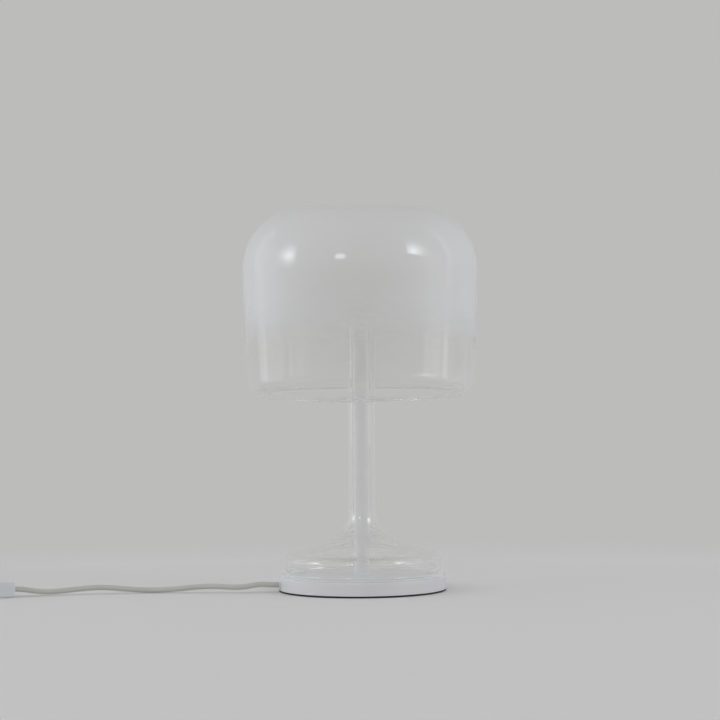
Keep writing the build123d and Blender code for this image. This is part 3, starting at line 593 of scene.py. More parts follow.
class NodeShape(Tree):
    """A Geometry Nodes tree with named inputs, used to make plain meshes."""

    def __init__(self, name: str, inputs: dict[str, str]) -> None:
        """Starts a tree.

        Args:
            name: the tree's name.
            inputs: input names with their socket types.
        """
        super().__init__(bpy.data.node_groups.new(name, "GeometryNodeTree"))
        face = self.tree.interface
        face.new_socket("Geometry", in_out="INPUT", socket_type="NodeSocketGeometry")
        self.sockets = {
            key: face.new_socket(key, in_out="INPUT", socket_type=kind).identifier
            for key, kind in inputs.items()
        }
        face.new_socket("Geometry", in_out="OUTPUT", socket_type="NodeSocketGeometry")
        self.source = self.tree.nodes.new("NodeGroupInput").outputs
        self.result = self.tree.nodes.new("NodeGroupOutput").inputs

    def lifted(self, shape: Socket, height: Socket) -> Socket:
        """Moves a shape straight up.

        Args:
            shape: the shape.
            height: how far.

        Returns:
            The moved shape.
        """
        way = self.add("ShaderNodeCombineXYZ", {"Z": height}).outputs[0]
        return self.add("GeometryNodeTransform", {"Geometry": shape, "Translation": way}).outputs[0]

    def close(self, shape: Socket) -> None:
        """Ends the tree: real geometry with its finish.

        Args:
            shape: the made shape.
        """
        real = self.add("GeometryNodeRealizeInstances", {"Geometry": shape})
        values = {"Geometry": real.outputs["Geometry"], "Material": self.source["Finish"]}
        done = self.add("GeometryNodeSetMaterial", values)
        self.tree.links.new(done.outputs["Geometry"], self.result["Geometry"])

    def make(self, name: str, values: dict, start: Mesh | None = None) -> Piece:
        """Runs the tree once and keeps the result as a plain mesh.

        Args:
            name: the new piece's name.
            values: the tree's inputs by name.
            start: mesh that the tree begins from.

        Returns:
            The piece, with its faces turned outwards.
        """
        holder = new_object(name + "_source", start or bpy.data.meshes.new(name + "_source"))
        modifier = holder.modifiers.new(self.tree.name, "NODES")
        modifier.node_group = self.tree
        for key, value in values.items():
            modifier[self.sockets[key]] = value
        seen = holder.evaluated_get(bpy.context.evaluated_depsgraph_get())
        mesh = bpy.data.meshes.new_from_object(seen)
        mesh.name = name
        bpy.data.objects.remove(holder)
        shell = bmesh.new()
        shell.from_mesh(mesh)
        bmesh.ops.remove_doubles(shell, verts=shell.verts, dist=MERGE_DISTANCE)
        bmesh.ops.recalc_face_normals(shell, faces=shell.faces)
        for face in shell.faces:
            face.smooth = True
        shell.to_mesh(mesh)
        shell.free()
        mesh.set_sharp_from_angle(angle=SHARP_ANGLE)
        return new_object(name, mesh)


class Lathe:
    """Turns outlines about the lamp's axis."""

    def __init__(self) -> None:
        """Builds the tree: a grid of outline points by turns, each row turned to its angle."""
        kinds = {"Turns": "NodeSocketInt", "Closed": "NodeSocketInt", "Finish": "NodeSocketMaterial"}
        shape = NodeShape("lathe", kinds)
        outline = shape.source["Geometry"]
        count = shape.add("GeometryNodeAttributeDomainSize", {"Geometry": outline}).outputs["Point Count"]
        rows = shape.math("ADD", count, shape.source["Closed"])
        columns = shape.math("ADD", shape.source["Turns"], 1.0)
        grid = shape.add("GeometryNodeMeshGrid", {"Vertices X": columns, "Vertices Y": rows}).outputs["Mesh"]
        index = shape.add("GeometryNodeInputIndex").outputs[0]
        row = shape.math("FLOORED_MODULO", index, rows)
        column = shape.math("FLOOR", shape.math("DIVIDE", index, rows))
        point = shape.add("GeometryNodeSampleIndex", {
            "Geometry": outline,
            "Value": shape.add("GeometryNodeInputPosition").outputs[0],
            "Index": shape.math("FLOORED_MODULO", row, count),
        }, data_type="FLOAT_VECTOR")
        angle = shape.math("DIVIDE", shape.math("MULTIPLY", column, math.tau), shape.source["Turns"])
        values = {"Vector": point.outputs["Value"], "Angle": angle}
        turned = shape.add("ShaderNodeVectorRotate", values, rotation_type="Z_AXIS")
        placed = shape.add("GeometryNodeSetPosition", {"Geometry": grid, "Position": turned.outputs[0]})
        values = {"Geometry": placed.outputs[0], "Distance": MERGE_DISTANCE}
        shape.close(shape.add("GeometryNodeMergeByDistance", values).outputs[0])
        self.shape = shape

    def turn(
        self, name: str, outline: Sequence[Pair], material: Material, turns: int, closed: bool = True
    ) -> Piece:
        """Turns one outline.

        Args:
            name: the piece's name.
            outline: its points in order, in millimetres.
            material: its finish.
            turns: how many flats go round.
            closed: joins the last point to the first.

        Returns:
            The piece.
        """
        mesh = bpy.data.meshes.new(name + "_outline")
        mesh.from_pydata([(r * MM, 0.0, z * MM) for r, z in outline], [], [])
        values = {"Turns": turns, "Closed": int(closed), "Finish": material}
        return self.shape.make(name, values, mesh)


# The lamp


@dataclass
class GlassShade:
    """The blown dome."""

    lamp_h: float = 400.0
    shade_h: float = 201.0
    shade_r: float = 121.0
    crown_r: float = 700.0
    shoulder_r: float = 66.0
    corner_r: float = 22.7
    lip_r: float = 95.0
    wall: float = 3.2
    crown_steps: int = 12
    shoulder_steps: int = 40
    wall_steps: int = 8
    corner_steps: int = 40
    lip_steps: int = 16
    turns: int = 440

    def line(self, inset: float) -> list[Pair]:
        """Crown, shoulder, wall and rim corner, set in from the outer face.

        Args:
            inset: how far.

        Returns:
            The points from the axis to the rim.
        """
        shoulder_x = self.shade_r - self.shoulder_r
        crown_z = self.lamp_h - self.crown_r
        shoulder_z = crown_z + math.sqrt((self.crown_r - self.shoulder_r) ** 2 - shoulder_x**2)
        corner_z = self.lamp_h - self.shade_h + self.corner_r
        across = self.lip_r - shoulder_x
        down = shoulder_z - corner_z
        spread = math.asin((self.shoulder_r - self.corner_r) / math.hypot(across, down))
        taper = math.degrees(spread - math.atan2(across, down))
        lean = math.degrees(math.asin(shoulder_x / (self.crown_r - self.shoulder_r)))
        crown = arc((0.0, crown_z), self.crown_r - inset, 90.0, 90.0 - lean, self.crown_steps)
        shoulder_c = (shoulder_x, shoulder_z)
        shoulder = arc(shoulder_c, self.shoulder_r - inset, 90.0 - lean, -taper, self.shoulder_steps)
        corner = arc((self.lip_r, corner_z), self.corner_r - inset, -taper, -90.0, self.corner_steps)
        wall = run(shoulder[-1], corner[0], self.wall_steps)
        return [(0.0, crown[0][1]), *crown[1:], *shoulder[1:], *wall, *corner]

    def build(self, lathe: Lathe, material: Material) -> None:
        """Turns the dome.

        Args:
            lathe: the lathe.
            material: its finish.
        """
        rim = (self.lip_r, self.lamp_h - self.shade_h + self.wall / 2)
        lip = arc(rim, self.wall / 2, -90.0, -270.0, self.lip_steps)[1:-1]
        outline = [*self.line(0.0), *lip, *reversed(self.line(self.wall))]
        piece = lathe.turn("shade_glass", outline, material, self.turns, closed=False)
        seat(piece, Body.SHADE, ["glass_shade"])


@dataclass
class GlassFoot:
    """The blown stem, trumpet, drum and heel flange."""

    foot_z: float = 15.0
    stem_top: float = 286.0
    wall: float = 3.5
    stem_r: float = 14.0
    flare_r: float = 30.0
    flare_slope: float = 34.0
    sweep_r: float = 118.0
    drum_slope: float = 10.0
    shoulder_r: float = 8.0
    drum_r: float = 81.5
    drum_h: float = 17.0
    heel_r: float = 86.0
    heel_edge: float = 1.2
    heel_round: float = 0.8
    sole_sink: float = 0.02
    shoulder_steps: int = 56
    sweep_steps: int = 24
    slope_steps: int = 4
    flare_steps: int = 40
    stem_steps: int = 8
    bead_steps: int = 12
    hollow_steps: int = 24
    turns: int = 288

    def line(self, inset: float) -> list[Pair]:
        """Drum shoulder, trumpet and stem, set in from the outer face.

        Args:
            inset: how far.

        Returns:
            The points from the drum's wall to the stem's top.
        """
        centre = (self.drum_r - self.shoulder_r, self.foot_z + self.drum_h)
        normal = math.radians(90.0 - self.drum_slope)
        reach = self.shoulder_r + self.sweep_r
        sweep_c = (centre[0] + reach * math.cos(normal), centre[1] + reach * math.sin(normal))
        ends = (270.0 - self.drum_slope, 270.0 - self.flare_slope)
        shoulder = arc(centre, self.shoulder_r - inset, 0.0, 90.0 - self.drum_slope, self.shoulder_steps)
        sweep = arc(sweep_c, self.sweep_r + inset, *ends, self.sweep_steps)
        outer_end = arc(sweep_c, self.sweep_r, *ends, 1)[-1]
        slope = math.radians(self.flare_slope)
        flare_x = self.stem_r + self.flare_r * (1 - math.sin(slope))
        flare_z = outer_end[1] + (outer_end[0] - flare_x) * math.tan(slope) + self.flare_r * math.cos(slope)
        flare_c = (self.stem_r + self.flare_r, flare_z)
        flare = arc(flare_c, self.flare_r + inset, 270.0 - self.flare_slope, 180.0, self.flare_steps)
        top = (self.stem_r - inset, self.stem_top)
        rise = run(sweep[-1], flare[0], self.slope_steps)
        stem = run(flare[-1], top, self.stem_steps)
        return [*shoulder, *sweep[1:], *rise, *flare, *stem, top]

    def build(self, lathe: Lathe, material: Material) -> None:
        """Turns the stem and foot.

        Args:
            lathe: the lathe.
            material: its finish.
        """
        edge_z = self.foot_z + self.heel_edge
        bead_r = self.heel_r - self.heel_round
        bead = arc((bead_r, edge_z), self.heel_round, 0.0, 90.0, self.bead_steps)
        hollow_r = bead_r - self.drum_r
        hollow_c = (bead_r, edge_z + self.heel_round + hollow_r)
        hollow = arc(hollow_c, hollow_r, 270.0, 180.0, self.hollow_steps)
        inner = list(reversed(self.line(self.wall)))
        sole_z = self.foot_z - self.sole_sink
        sole = [(self.drum_r - self.wall, sole_z), (self.heel_r, sole_z)]
        outline = [*bead, *hollow[1:], *self.line(0.0), *inner, *sole]
        piece = lathe.turn("foot_glass", outline, material, self.turns)
        seat(piece, Body.LAMP, ["glass_foot"])


@dataclass
class BaseAndStem:
    """The lacquered base, its pad, and the tie rod with the white sleeve inside the stem."""

    sleeve_r: float = 8.2
    sleeve_bore: float = 7.0
    sleeve_low: float = 16.2
    sleeve_high: float = 287.0
    pad_r: float = 86.0
    pad_t: float = 2.0
    pad_round: float = 0.5
    pad_steps: int = 4
    turns: int = 128

    def build(self, lathe: Lathe) -> None:
        """Turns the sleeve and the pad, and dresses the solids.

        Args:
            lathe: the lathe.
        """
        lacquer = WHITE_LACQUER.make()
        sleeve = [
            (self.sleeve_bore, self.sleeve_low),
            (self.sleeve_r, self.sleeve_low),
            (self.sleeve_r, self.sleeve_high),
            (self.sleeve_bore, self.sleeve_high),
        ]
        # The sleeve takes the lighter lacquer, painted light inside the stem.
        tube = lathe.turn("stem_sleeve", sleeve, SLEEVE_LACQUER_PAINTED_LIGHT.make(), self.turns)
        seat(tube, Body.LAMP, ["sleeve_tube"])
        edge_r = self.pad_r - self.pad_round
        low = arc((edge_r, self.pad_round), self.pad_round, -90.0, 0.0, self.pad_steps)
        high = arc((edge_r, self.pad_t - self.pad_round), self.pad_round, 0.0, 90.0, self.pad_steps)
        outline = [(0.0, 0.0), *low, *high, (0.0, self.pad_t)]
        pad = lathe.turn("foam_pad", outline, BLACK_FOAM.make(), self.turns, closed=False)
        seat(pad, Body.LAMP, ["base_pad"])
        dress(lacquer, ["base_pan", "stem_cap"])
        dress(ZINC.make(), [
            "base_cover", "cover_screws", "threaded_rod", "base_washer", "base_nut", "cap_nut", "clamp_nuts",
            "switch_screws",
        ])
        dress(SILICONE.make(), ["foot_gasket", "stem_gasket", "carrier_tips", "cord_grommet"])


@dataclass
class Lampholder:
    """The lampholder with its threaded skirt, the bulb and the carrier of the dome."""

    skirt_r: float = 13.9
    thread_low: float = 328.8
    thread_high: float = 337.2
    thread_pitch: float = 2.1
    thread_r: float = 0.45
    thread_steps: int = 48
    thread_sides: int = 8
    ring_r: float = 18.0
    ring_low: float = 323.6
    ring_h: float = 4.5
    rib_count: int = 40
    rib: Triple = (0.9, 1.1, 3.6)

    def thread(self, material: Material) -> Piece:
        """Winds the ridge of the skirt's thread.

        Args:
            material: its finish.

        Returns:
            The piece.
        """
        kinds = {
            "Radius": "NodeSocketFloat", "Rise": "NodeSocketFloat", "Rounds": "NodeSocketFloat",
            "Ridge": "NodeSocketFloat", "Foot": "NodeSocketFloat", "Finish": "NodeSocketMaterial",
        }
        shape = NodeShape("skirt_thread", kinds)
        spiral = shape.add("GeometryNodeCurveSpiral", {
            "Resolution": self.thread_steps,
            "Rotations": shape.source["Rounds"],
            "Start Radius": shape.source["Radius"],
            "End Radius": shape.source["Radius"],
            "Height": shape.source["Rise"],
        })
        values = {"Resolution": self.thread_sides, "Radius": shape.source["Ridge"]}
        ridge = shape.add("GeometryNodeCurvePrimitiveCircle", values)
        values = {"Curve": spiral.outputs[0], "Profile Curve": ridge.outputs[0], "Fill Caps": True}
        swept = shape.add("GeometryNodeCurveToMesh", values)
        shape.close(shape.lifted(swept.outputs[0], shape.source["Foot"]))
        rise = self.thread_high - self.thread_low
        return shape.make("holder_thread", {
            "Radius": self.skirt_r * MM,
            "Rise": rise * MM,
            "Rounds": rise / self.thread_pitch,
            "Ridge": self.thread_r * MM,
            "Foot": self.thread_low * MM,
            "Finish": material,
        })

    def ribs(self, material: Material) -> Piece:
        """Sets the grip ribs round the carrier's ring.

        Args:
            material: their finish.

        Returns:
            The piece.
        """
        kinds = {
            "Radius": "NodeSocketFloat", "Count": "NodeSocketInt", "Rib": "NodeSocketVector",
            "Middle": "NodeSocketFloat", "Finish": "NodeSocketMaterial",
        }
        shape = NodeShape("ring_ribs", kinds)
        values = {"Vertices": shape.source["Count"], "Radius": shape.source["Radius"]}
        ring = shape.add("GeometryNodeMeshCircle", values)
        block = shape.add("GeometryNodeMeshCube", {"Size": shape.source["Rib"]})
        index = shape.add("GeometryNodeInputIndex").outputs[0]
        angle = shape.math("DIVIDE", shape.math("MULTIPLY", index, math.tau), shape.source["Count"])
        turn = shape.add("ShaderNodeCombineXYZ", {"Z": angle})
        values = {"Points": ring.outputs[0], "Instance": block.outputs[0], "Rotation": turn.outputs[0]}
        placed = shape.add("GeometryNodeInstanceOnPoints", values)
        shape.close(shape.lifted(placed.outputs[0], shape.source["Middle"]))
        return shape.make("carrier_ring_ribs", {
            "Radius": self.ring_r * MM,
            "Count": self.rib_count,
            "Rib": tuple(side * MM for side in self.rib),
            "Middle": (self.ring_low + self.ring_h / 2) * MM,
            "Finish": material,
        })

    def build(self) -> None:
        """Makes the small forms and dresses the solids."""
        holder = HOLDER_WHITE.make()
        seat(self.thread(holder), Body.LAMP)
        seat(self.ribs(holder), Body.LAMP)
        dress(holder, ["holder_cap", "holder_body", "carrier_ring", "cord_clamp"])
        dress(INSERT_WHITE.make(), ["holder_insert"])
        dress(BRASS.make(), [
            "holder_shell", "holder_contact", "terminal_screws", "switch_terminals", "switch_blade",
        ])
        dress(BULB_OPAL.make(), ["bulb_globe", "bulb_neck", "bulb_insulator"])
        dress(ALUMINIUM.make(), ["bulb_shell", "bulb_tip"])
        dress(WHITE_WIRE.make(), ["shade_carrier"])
        dress(CORE_BROWN.make(), ["core_brown"])
        dress(CORE_BLUE.make(), ["core_blue"])


@dataclass
class Flex:
    """The flex: a lead from the base to the switch, and a tail from there through its coil to the plug."""

    radius: float = 2.8
    exit_angle: float = 189.5
    exit_r: float = 87.2
    exit_z: float = 8.0
    exit_run: float = 8.0
    waves: tuple[Triple, ...] = (
        (-106.0, -17.7, 9.4),
        (-126.5, -17.5, 5.2),
        (-157.0, -12.5, 7.6),
        (-198.3, -8.5, 3.4),
        (-229.2, -9.5, 3.2),
        (-262.0, -13.5, 6.8),
        (-283.0, -17.5, 6.8),
        (-317.5, -25.0, 3.6),
        (-335.0, -29.3, 4.9),
    )
    switch_end: Pair = (-356.5, -34.3)
    switch_yaw: float = 194.0
    switch_l: float = 64.0
    switch_mid: float = 8.0
    switch_run: float = 5.0
    cord_in: float = 6.5
    coil_lead: Triple = (17.0, 0.6, 6.4)
    coil_run: float = 11.0
    coil_reach: float = 42.0
    coil_r: float = 43.0
    coil_pitch: float = 6.2
    coil_climb: float = 6.1
    coil_z: float = 4.0
    turns_in: float = 3.0
    turns_up: float = 0.5
    turns_out: float = 2.875
    points_a_turn: int = 16
    plug_lead: Triple = (19.5, 0.5, 8.7)
    plug_run: float = 9.0
    plug_reach: float = 39.0
    plug_mid: float = 6.85
    round_steps: int = 6
    path_steps: int = 6
    path_order: int = 3
    lead_length: float = 0.2805
    tail_length: float = 1.405

    def from_switch(self, along: float, across: float, height: float) -> Triple:
        """A point given from the switch's end by the lamp, along and across it.

        Args:
            along: towards the coil.
            across: to its left.
            height: above the floor.

        Returns:
            The point in the lamp's frame.
        """
        return shifted(self.switch_end, self.switch_yaw, (along, across, height))

    def lead_points(self) -> list[Triple]:
        """Control points from the base to the inside of the switch.

        Returns:
            The points.
        """
        angle = math.radians(self.exit_angle)
        out = (math.cos(angle), math.sin(angle))
        ends = [(out[0] * r, out[1] * r, self.exit_z) for r in (self.exit_r, self.exit_r + self.exit_run)]
        into = [self.from_switch(along, 0.0, self.switch_mid) for along in (-self.switch_run, self.cord_in)]
        return [*ends, *self.waves, *into]

    def coil_polar(self, turn: float) -> Pair:
        """Radius and height of the coil: in on the floor, up within a part of a turn, and out on top.

        Args:
            turn: turns from its start.

        Returns:
            The radius and the height.
        """
        inner = self.coil_r - self.coil_pitch * self.turns_in
        past = turn - self.turns_in
        if past <= 0:
            return self.coil_r - self.coil_pitch * turn, self.coil_z
        if past < self.turns_up:
            swing = math.pi * past / self.turns_up
            dip = self.coil_pitch / math.tau * math.sin(swing)
            return inner - dip, self.coil_z + self.coil_climb * (1 - math.cos(swing)) / 2
        return inner + self.coil_pitch * (past - self.turns_up), self.coil_z + self.coil_climb

    def coil_point(self, turn: float, swell: float = 1.0) -> Triple:
        """A point of the coil, from where the coil begins.

        Args:
            turn: turns from its start.
            swell: how many times the coil's own radius it lies out.

        Returns:
            The point.
        """
        radius, height = self.coil_polar(turn)
        angle = math.pi / 2 - math.tau * turn
        reach = radius * swell
        return (reach * math.cos(angle) + 2 * self.radius, reach * math.sin(angle) - self.coil_r, height)

    def tail_points(self) -> list[Triple]:
        """Control points from the inside of the switch through the coil to the plug.

        A smooth curve runs inside its control points, so those of the coil lie out by its swell.

        Returns:
            The points.
        """
        start = self.switch_l
        lead = [
            (start - self.cord_in, 0.0, self.switch_mid),
            (start + self.switch_run, 0.0, self.switch_mid),
            (start + self.coil_lead[0], self.coil_lead[1], self.coil_lead[2]),
            (start + self.coil_reach - self.coil_run, 0.0, self.coil_z),
            (start + self.coil_reach, 0.0, self.coil_z),
        ]
        points = [self.from_switch(*point) for point in lead]
        lean = math.degrees(math.atan2(self.coil_pitch, math.tau * self.coil_r))
        yaw = self.switch_yaw + lean
        entry = points[-1][:2]
        total = self.turns_in + self.turns_up + self.turns_out
        count = round(total * self.points_a_turn)
        swell = 4.0 / (3.0 + math.cos(math.tau / self.points_a_turn))
        inner = [self.coil_point(total * i / count, swell) for i in range(1, count)]
        coil = [self.coil_point(0.0), *inner, self.coil_point(total)]
        points += [shifted(entry, yaw, point) for point in coil]
        points += self.plug_points(entry, yaw, total)
        return points

    def plug_points(self, entry: Pair, yaw: float, total: float) -> list[Triple]:
        """Control points from the coil's end down to the plug.

        Args:
            entry: where the coil begins.
            yaw: the coil's heading there, in degrees.
            total: the coil's turns.

        Returns:
            The points.
        """
        x, y, height = shifted(entry, yaw, self.coil_point(total))
        angle = math.pi / 2 - math.tau * total
        c, s = math.cos(angle), math.sin(angle)
        grow = self.coil_pitch / (math.tau * self.coil_polar(total)[0])
        turn = yaw + math.degrees(math.atan2(grow * s - c, grow * c + s))
        start = 2 * self.radius
        lead = [
            (start, 0.0, height),
            (start + self.plug_run, 0.0, height),
            (start + self.plug_lead[0], self.plug_lead[1], self.plug_lead[2]),
            (start + self.plug_reach - self.plug_run, 0.0, self.plug_mid),
            (start + self.plug_reach, 0.0, self.plug_mid),
        ]
        return [shifted((x, y), turn, point) for point in lead]

    def lay(self, name: str, points: Sequence[Triple], material: Material) -> Piece:
        """Lays one smooth stretch of flex.

        Args:
            name: the piece's name.
            points: control points in millimetres.
            material: its finish.

        Returns:
            The piece.
        """
        curve = bpy.data.curves.new(name, "CURVE")
        curve.dimensions = "3D"
        curve.bevel_depth = self.radius * MM
        curve.bevel_resolution = self.round_steps
        curve.use_fill_caps = True
        curve.resolution_u = self.path_steps
        spline = curve.splines.new("NURBS")
        spline.points.add(len(points) - 1)
        for point, (x, y, z) in zip(spline.points, points):
            point.co = (x * MM, y * MM, z * MM, 1.0)
        spline.order_u = self.path_order
        spline.use_endpoint_u = True
        curve.materials.append(material)
        return new_object(name, curve)

    def build(self) -> None:
        """Dresses the inner cord, lays both stretches, and hides the cord solids that they stand for."""
        vinyl = VINYL.make()
        dress(vinyl, ["cord_inner"])
        lead_points = self.lead_points()
        lead = self.lay("flex_lead", lead_points, vinyl)
        seat(lead, Body.LAMP, ["cord_to_switch"])
        tail_points = self.tail_points()
        tail = self.lay("flex_tail", tail_points, vinyl)
        seat(tail, Body.LAMP, ["cord_to_coil", "cord_coil", "cord_to_plug"])


class Fittings:
    """The switch, the tie and the plug on the flex."""

    def build(self) -> None:
        """Dresses the solids."""
        dress(SWITCH_WHITE.make(), ["switch_base", "switch_cover", "switch_rocker"])
        dress(TIE_WHITE.make(), ["cord_tie"])
        dress(PLUG_WHITE.make(), ["plug_body", "pin_sleeves"])
        dress(NICKEL.make(), ["plug_pins"])


# The studio


def direction(azimuth: float, elevation: float) -> Vector:
    """The way to a studio light.

    Args:
        azimuth: degrees to the right of the camera's side.
        elevation: degrees above the floor.

    Returns:
        The unit vector.
    """
    az, el = math.radians(azimuth), math.radians(elevation)
    return Vector((math.sin(az) * math.cos(el), -math.cos(az) * math.cos(el), math.sin(el)))


@dataclass(frozen=True)
class Softbox:
    """A flat studio light placed by where it shines from, with an even face or one hot spot on it.

    Angles are in degrees as seen from the point that it faces, and the distance is in metres.
    """

    name: str
    azimuth: float
    elevation: float
    width: float
    height: float
    radiance: float
    spot_at: Pair | None = None
    spot_reach: Pair = (20.0, 25.0)
    spot_falloff: float = 2.4
    roll: float = 0.0
    distance: float = 8.0
    tint: Rgba = (0.975, 0.985, 1.03, 1.0)

    def build(self, centre: Vector) -> None:
        """Hangs the light.

        Args:
            centre: what it faces.
        """
        light = bpy.data.lights.new(self.name, "AREA")
        light.shape = "RECTANGLE"
        light.size = 2 * self.distance * math.tan(math.radians(self.width / 2))
        light.size_y = 2 * self.distance * math.tan(math.radians(self.height / 2))
        # This power gives the face a radiance of one, which its nodes then scale.
        light.energy = math.pi * light.size * light.size_y
        out = direction(self.azimuth, self.elevation)
        lamp = new_object(self.name, light)
        lamp.location = centre + out * self.distance
        turn = out.to_track_quat("Z", "Y") @ Quaternion(FACE_OUT, math.radians(self.roll))
        lamp.rotation_euler = turn.to_euler()
        lamp.visible_camera = False
        light.use_nodes = True
        face = Tree(light.node_tree)
        level = self.radiance
        if self.spot_at is not None:
            way = direction(*self.spot_at)
            spot = centre + way * (self.distance / way.dot(out))
            level = self.hot_spot(face, spot, (turn @ FACE_ACROSS, turn @ FACE_UP))
        face.fill(face.find("EMISSION"), {"Color": self.tint, "Strength": level})

    def hot_spot(self, face: Tree, spot: Vector, axes: Sequence[Vector]) -> Socket:
        """Darkens the face away from one point.

        Args:
            face: the light's nodes.
            spot: the point.
            axes: the face's directions across and up.

        Returns:
            The radiance over the face.
        """
        here = face.add("ShaderNodeNewGeometry").outputs["Position"]
        offset = face.add("ShaderNodeVectorMath", {0: here, 1: spot}, operation="SUBTRACT").outputs[0]
        squares = []
        for axis, angle in zip(axes, self.spot_reach):
            reach = self.distance * math.tan(math.radians(angle))
            values = {0: offset, 1: axis / reach}
            share = face.add("ShaderNodeVectorMath", values, operation="DOT_PRODUCT").outputs["Value"]
            squares.append(face.math("POWER", share, 2.0))
        away = face.math("SQRT", face.math("ADD", *squares))
        left = face.math("MAXIMUM", face.math("SUBTRACT", 1.0, away), 0.0)
        return face.math("MULTIPLY", face.math("POWER", left, self.spot_falloff), self.radiance)


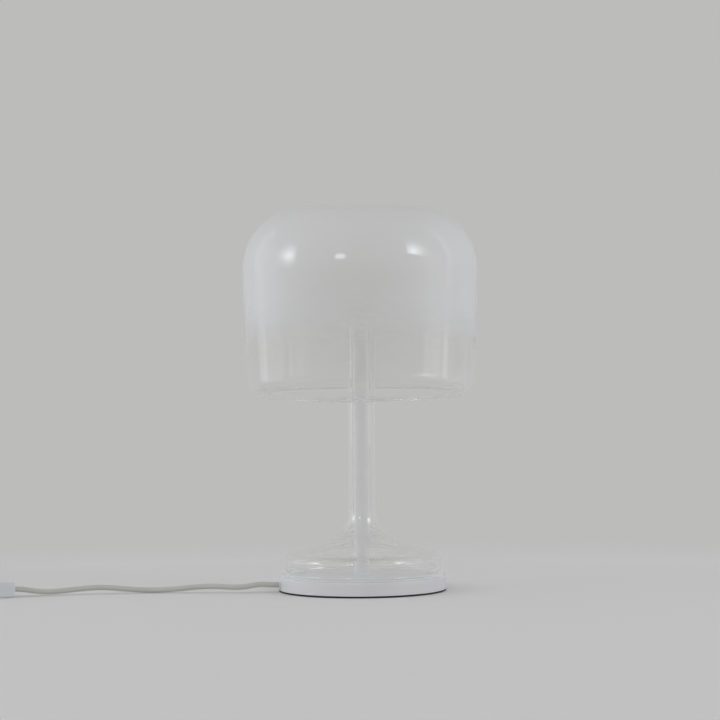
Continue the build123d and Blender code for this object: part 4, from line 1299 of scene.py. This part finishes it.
@dataclass
class Studio:
    """The floor, the backdrop, the studio lights and the camera."""

    backdrop: Rgba = (0.503, 0.503, 0.496, 1.0)
    sky_back: Triple = (0.51, 0.51, 0.508)
    sky_front: Triple = (0.5, 0.5, 0.495)
    sky_side: Triple = (0.812, 0.833, 0.932)
    sky_top: Triple = (0.425, 0.425, 0.425)
    floor_colour: Rgba = (0.764, 0.755, 0.73, 1.0)
    floor_roughness: float = 0.8
    floor_gloss: float = 0.1
    floor_r: float = 16.0
    floor_sides: int = 96
    fade_centre: Triple = (0.0, -0.6, 0.0)
    fade_from: float = 0.95
    fade_to: float = 1.25
    centre: Triple = (0.0, 0.0, 0.3)
    lamps: tuple[Softbox, ...] = (
        Softbox(
            "left_box", azimuth=-86.4, elevation=21.1, width=31.5, height=48.0, radiance=7.5,
            spot_at=(-76.5, 21.0), spot_reach=(20.0, 24.0), roll=25.0,
        ),
        Softbox(
            "left_strip", azimuth=-118.5, elevation=13.0, width=13.0, height=50.0, radiance=0.34,
            roll=18.0, distance=1.8,
        ),
        Softbox(
            "left_card", azimuth=-98.0, elevation=9.5, width=28.0, height=35.0, radiance=0.28, distance=1.8,
        ),
        Softbox("window", azimuth=-20.0, elevation=25.0, width=9.5, height=8.5, radiance=5.1),
        Softbox(
            "right_box", azimuth=73.6, elevation=34.9, width=31.2, height=32.3, radiance=8.8,
            spot_at=(59.0, 28.5), spot_reach=(19.5, 25.0), roll=-30.0,
        ),
        Softbox(
            "right_strip", azimuth=99.5, elevation=20.0, width=6.5, height=58.0, radiance=0.6,
            roll=-16.0, distance=1.8,
        ),
        Softbox(
            "right_card", azimuth=74.0, elevation=9.5, width=20.0, height=35.0, radiance=0.34, distance=1.8,
        ),
    )
    camera_distance: float = 4.03
    camera_height: float = 0.39
    camera_side: float = 0.0007
    camera_tilt: float = 2.16
    camera_roll: float = 0.5
    lens: float = 195.75
    sensor: float = 36.0
    bounces: int = 24

    def build(self) -> None:
        """Builds the studio."""
        self.build_camera()
        self.build_world()
        self.build_floor()
        for lamp in self.lamps:
            lamp.build(Vector(self.centre))
        bpy.context.scene.view_settings.view_transform = "Standard"
        cycles = bpy.context.scene.cycles
        cycles.denoising_input_passes = "RGB_ALBEDO"
        cycles.max_bounces = self.bounces
        cycles.transmission_bounces = self.bounces
        cycles.glossy_bounces = self.bounces
        cycles.transparent_max_bounces = self.bounces

    def build_camera(self) -> None:
        """Places the camera at the photograph's height, distance and angle."""
        camera = bpy.data.cameras.new("camera")
        camera.lens = self.lens
        camera.sensor_width = self.sensor
        eye = new_object("camera", camera)
        eye.location = (self.camera_side, -self.camera_distance, self.camera_height)
        eye.rotation_euler = (math.radians(90.0 - self.camera_tilt), math.radians(self.camera_roll), 0.0)
        bpy.context.scene.camera = eye

    def build_world(self) -> None:
        """Soft light from all round, and the plain backdrop for the camera and rays that pass the glass."""
        world = bpy.data.worlds.new("studio")
        bpy.context.scene.world = world
        world.use_nodes = True
        tree = Tree(world.node_tree)
        sight = tree.add("ShaderNodeTexCoord").outputs["Generated"]
        way = tree.add("ShaderNodeSeparateXYZ", {0: sight}).outputs
        side = tree.math("POWER", way["X"], 2.0)
        top = tree.math("POWER", way["Z"], 2.0)
        front = tree.math("POWER", tree.math("MINIMUM", way["Y"], 0.0), 2.0)
        back = Vector(self.sky_back)
        sky = back
        for share, colour in ((front, self.sky_front), (side, self.sky_side), (top, self.sky_top)):
            values = {0: share, 1: Vector(colour) - back, 2: sky}
            sky = tree.add("ShaderNodeVectorMath", values, operation="MULTIPLY_ADD").outputs[0]
        path = tree.add("ShaderNodeLightPath").outputs
        unspread = tree.math("LESS_THAN", path["Diffuse Depth"], NONE_YET)
        clear = tree.math("MULTIPLY", path["Is Glossy Ray"], unspread)
        outer = tree.math("LESS_THAN", path["Transmission Depth"], NONE_YET)
        mirrored = tree.math("MULTIPLY", tree.math("COMPARE", path["Glossy Depth"], 1.0), outer)
        through = tree.math("MULTIPLY", clear, tree.math("SUBTRACT", 1.0, mirrored))
        straight = tree.math("MAXIMUM", path["Is Camera Ray"], through)
        seen = tree.blend(straight, sky, self.backdrop)
        tree.fill(tree.find("BACKGROUND"), {"Color": seen, "Strength": 1.0})

    def build_floor(self) -> None:
        """A wide pale floor that keeps the lamp's shadow and fades into the backdrop."""
        shell = bmesh.new()
        bmesh.ops.create_circle(shell, cap_ends=True, segments=self.floor_sides, radius=self.floor_r)
        mesh = bpy.data.meshes.new("floor")
        shell.to_mesh(mesh)
        shell.free()
        bench = Bench("floor")
        away = bench.add("ShaderNodeVectorMath", {0: bench.place, 1: self.fade_centre}, operation="DISTANCE")
        far = bench.spread(away.outputs["Value"], (self.fade_from, self.fade_to), SHARE, Ease.SOFT)
        bench.fill(bench.shader, {
            "Base Color": self.floor_colour,
            "Roughness": self.floor_roughness,
            "Specular IOR Level": self.floor_gloss,
        })
        seen = bench.add("ShaderNodeLightPath").outputs["Is Camera Ray"]
        glow = bench.add("ShaderNodeEmission", {"Color": self.backdrop}).outputs[0]
        gone = bench.add("ShaderNodeBsdfTransparent").outputs[0]
        beyond = bench.add("ShaderNodeMixShader", {0: seen, 1: gone, 2: glow}).outputs[0]
        mix = bench.add("ShaderNodeMixShader", {0: far, 1: bench.shader.outputs[0], 2: beyond})
        bench.fill(bench.output, {"Surface": mix.outputs[0]})
        mesh.materials.append(bench.material)
        new_object("floor", mesh)


def main() -> None:
    """Builds the studio and the lamp, piece by piece."""
    logging.basicConfig(level=logging.INFO, format="%(name)s: %(message)s")
    Studio().build()
    Flex().build()
    Fittings().build()
    lathe = Lathe()
    GlassShade().build(lathe, OPAL_GLASS.make())
    GlassFoot().build(lathe, CLEAR_GLASS.make())
    BaseAndStem().build(lathe)
    Lampholder().build()


if __name__ == "__main__":
    main()
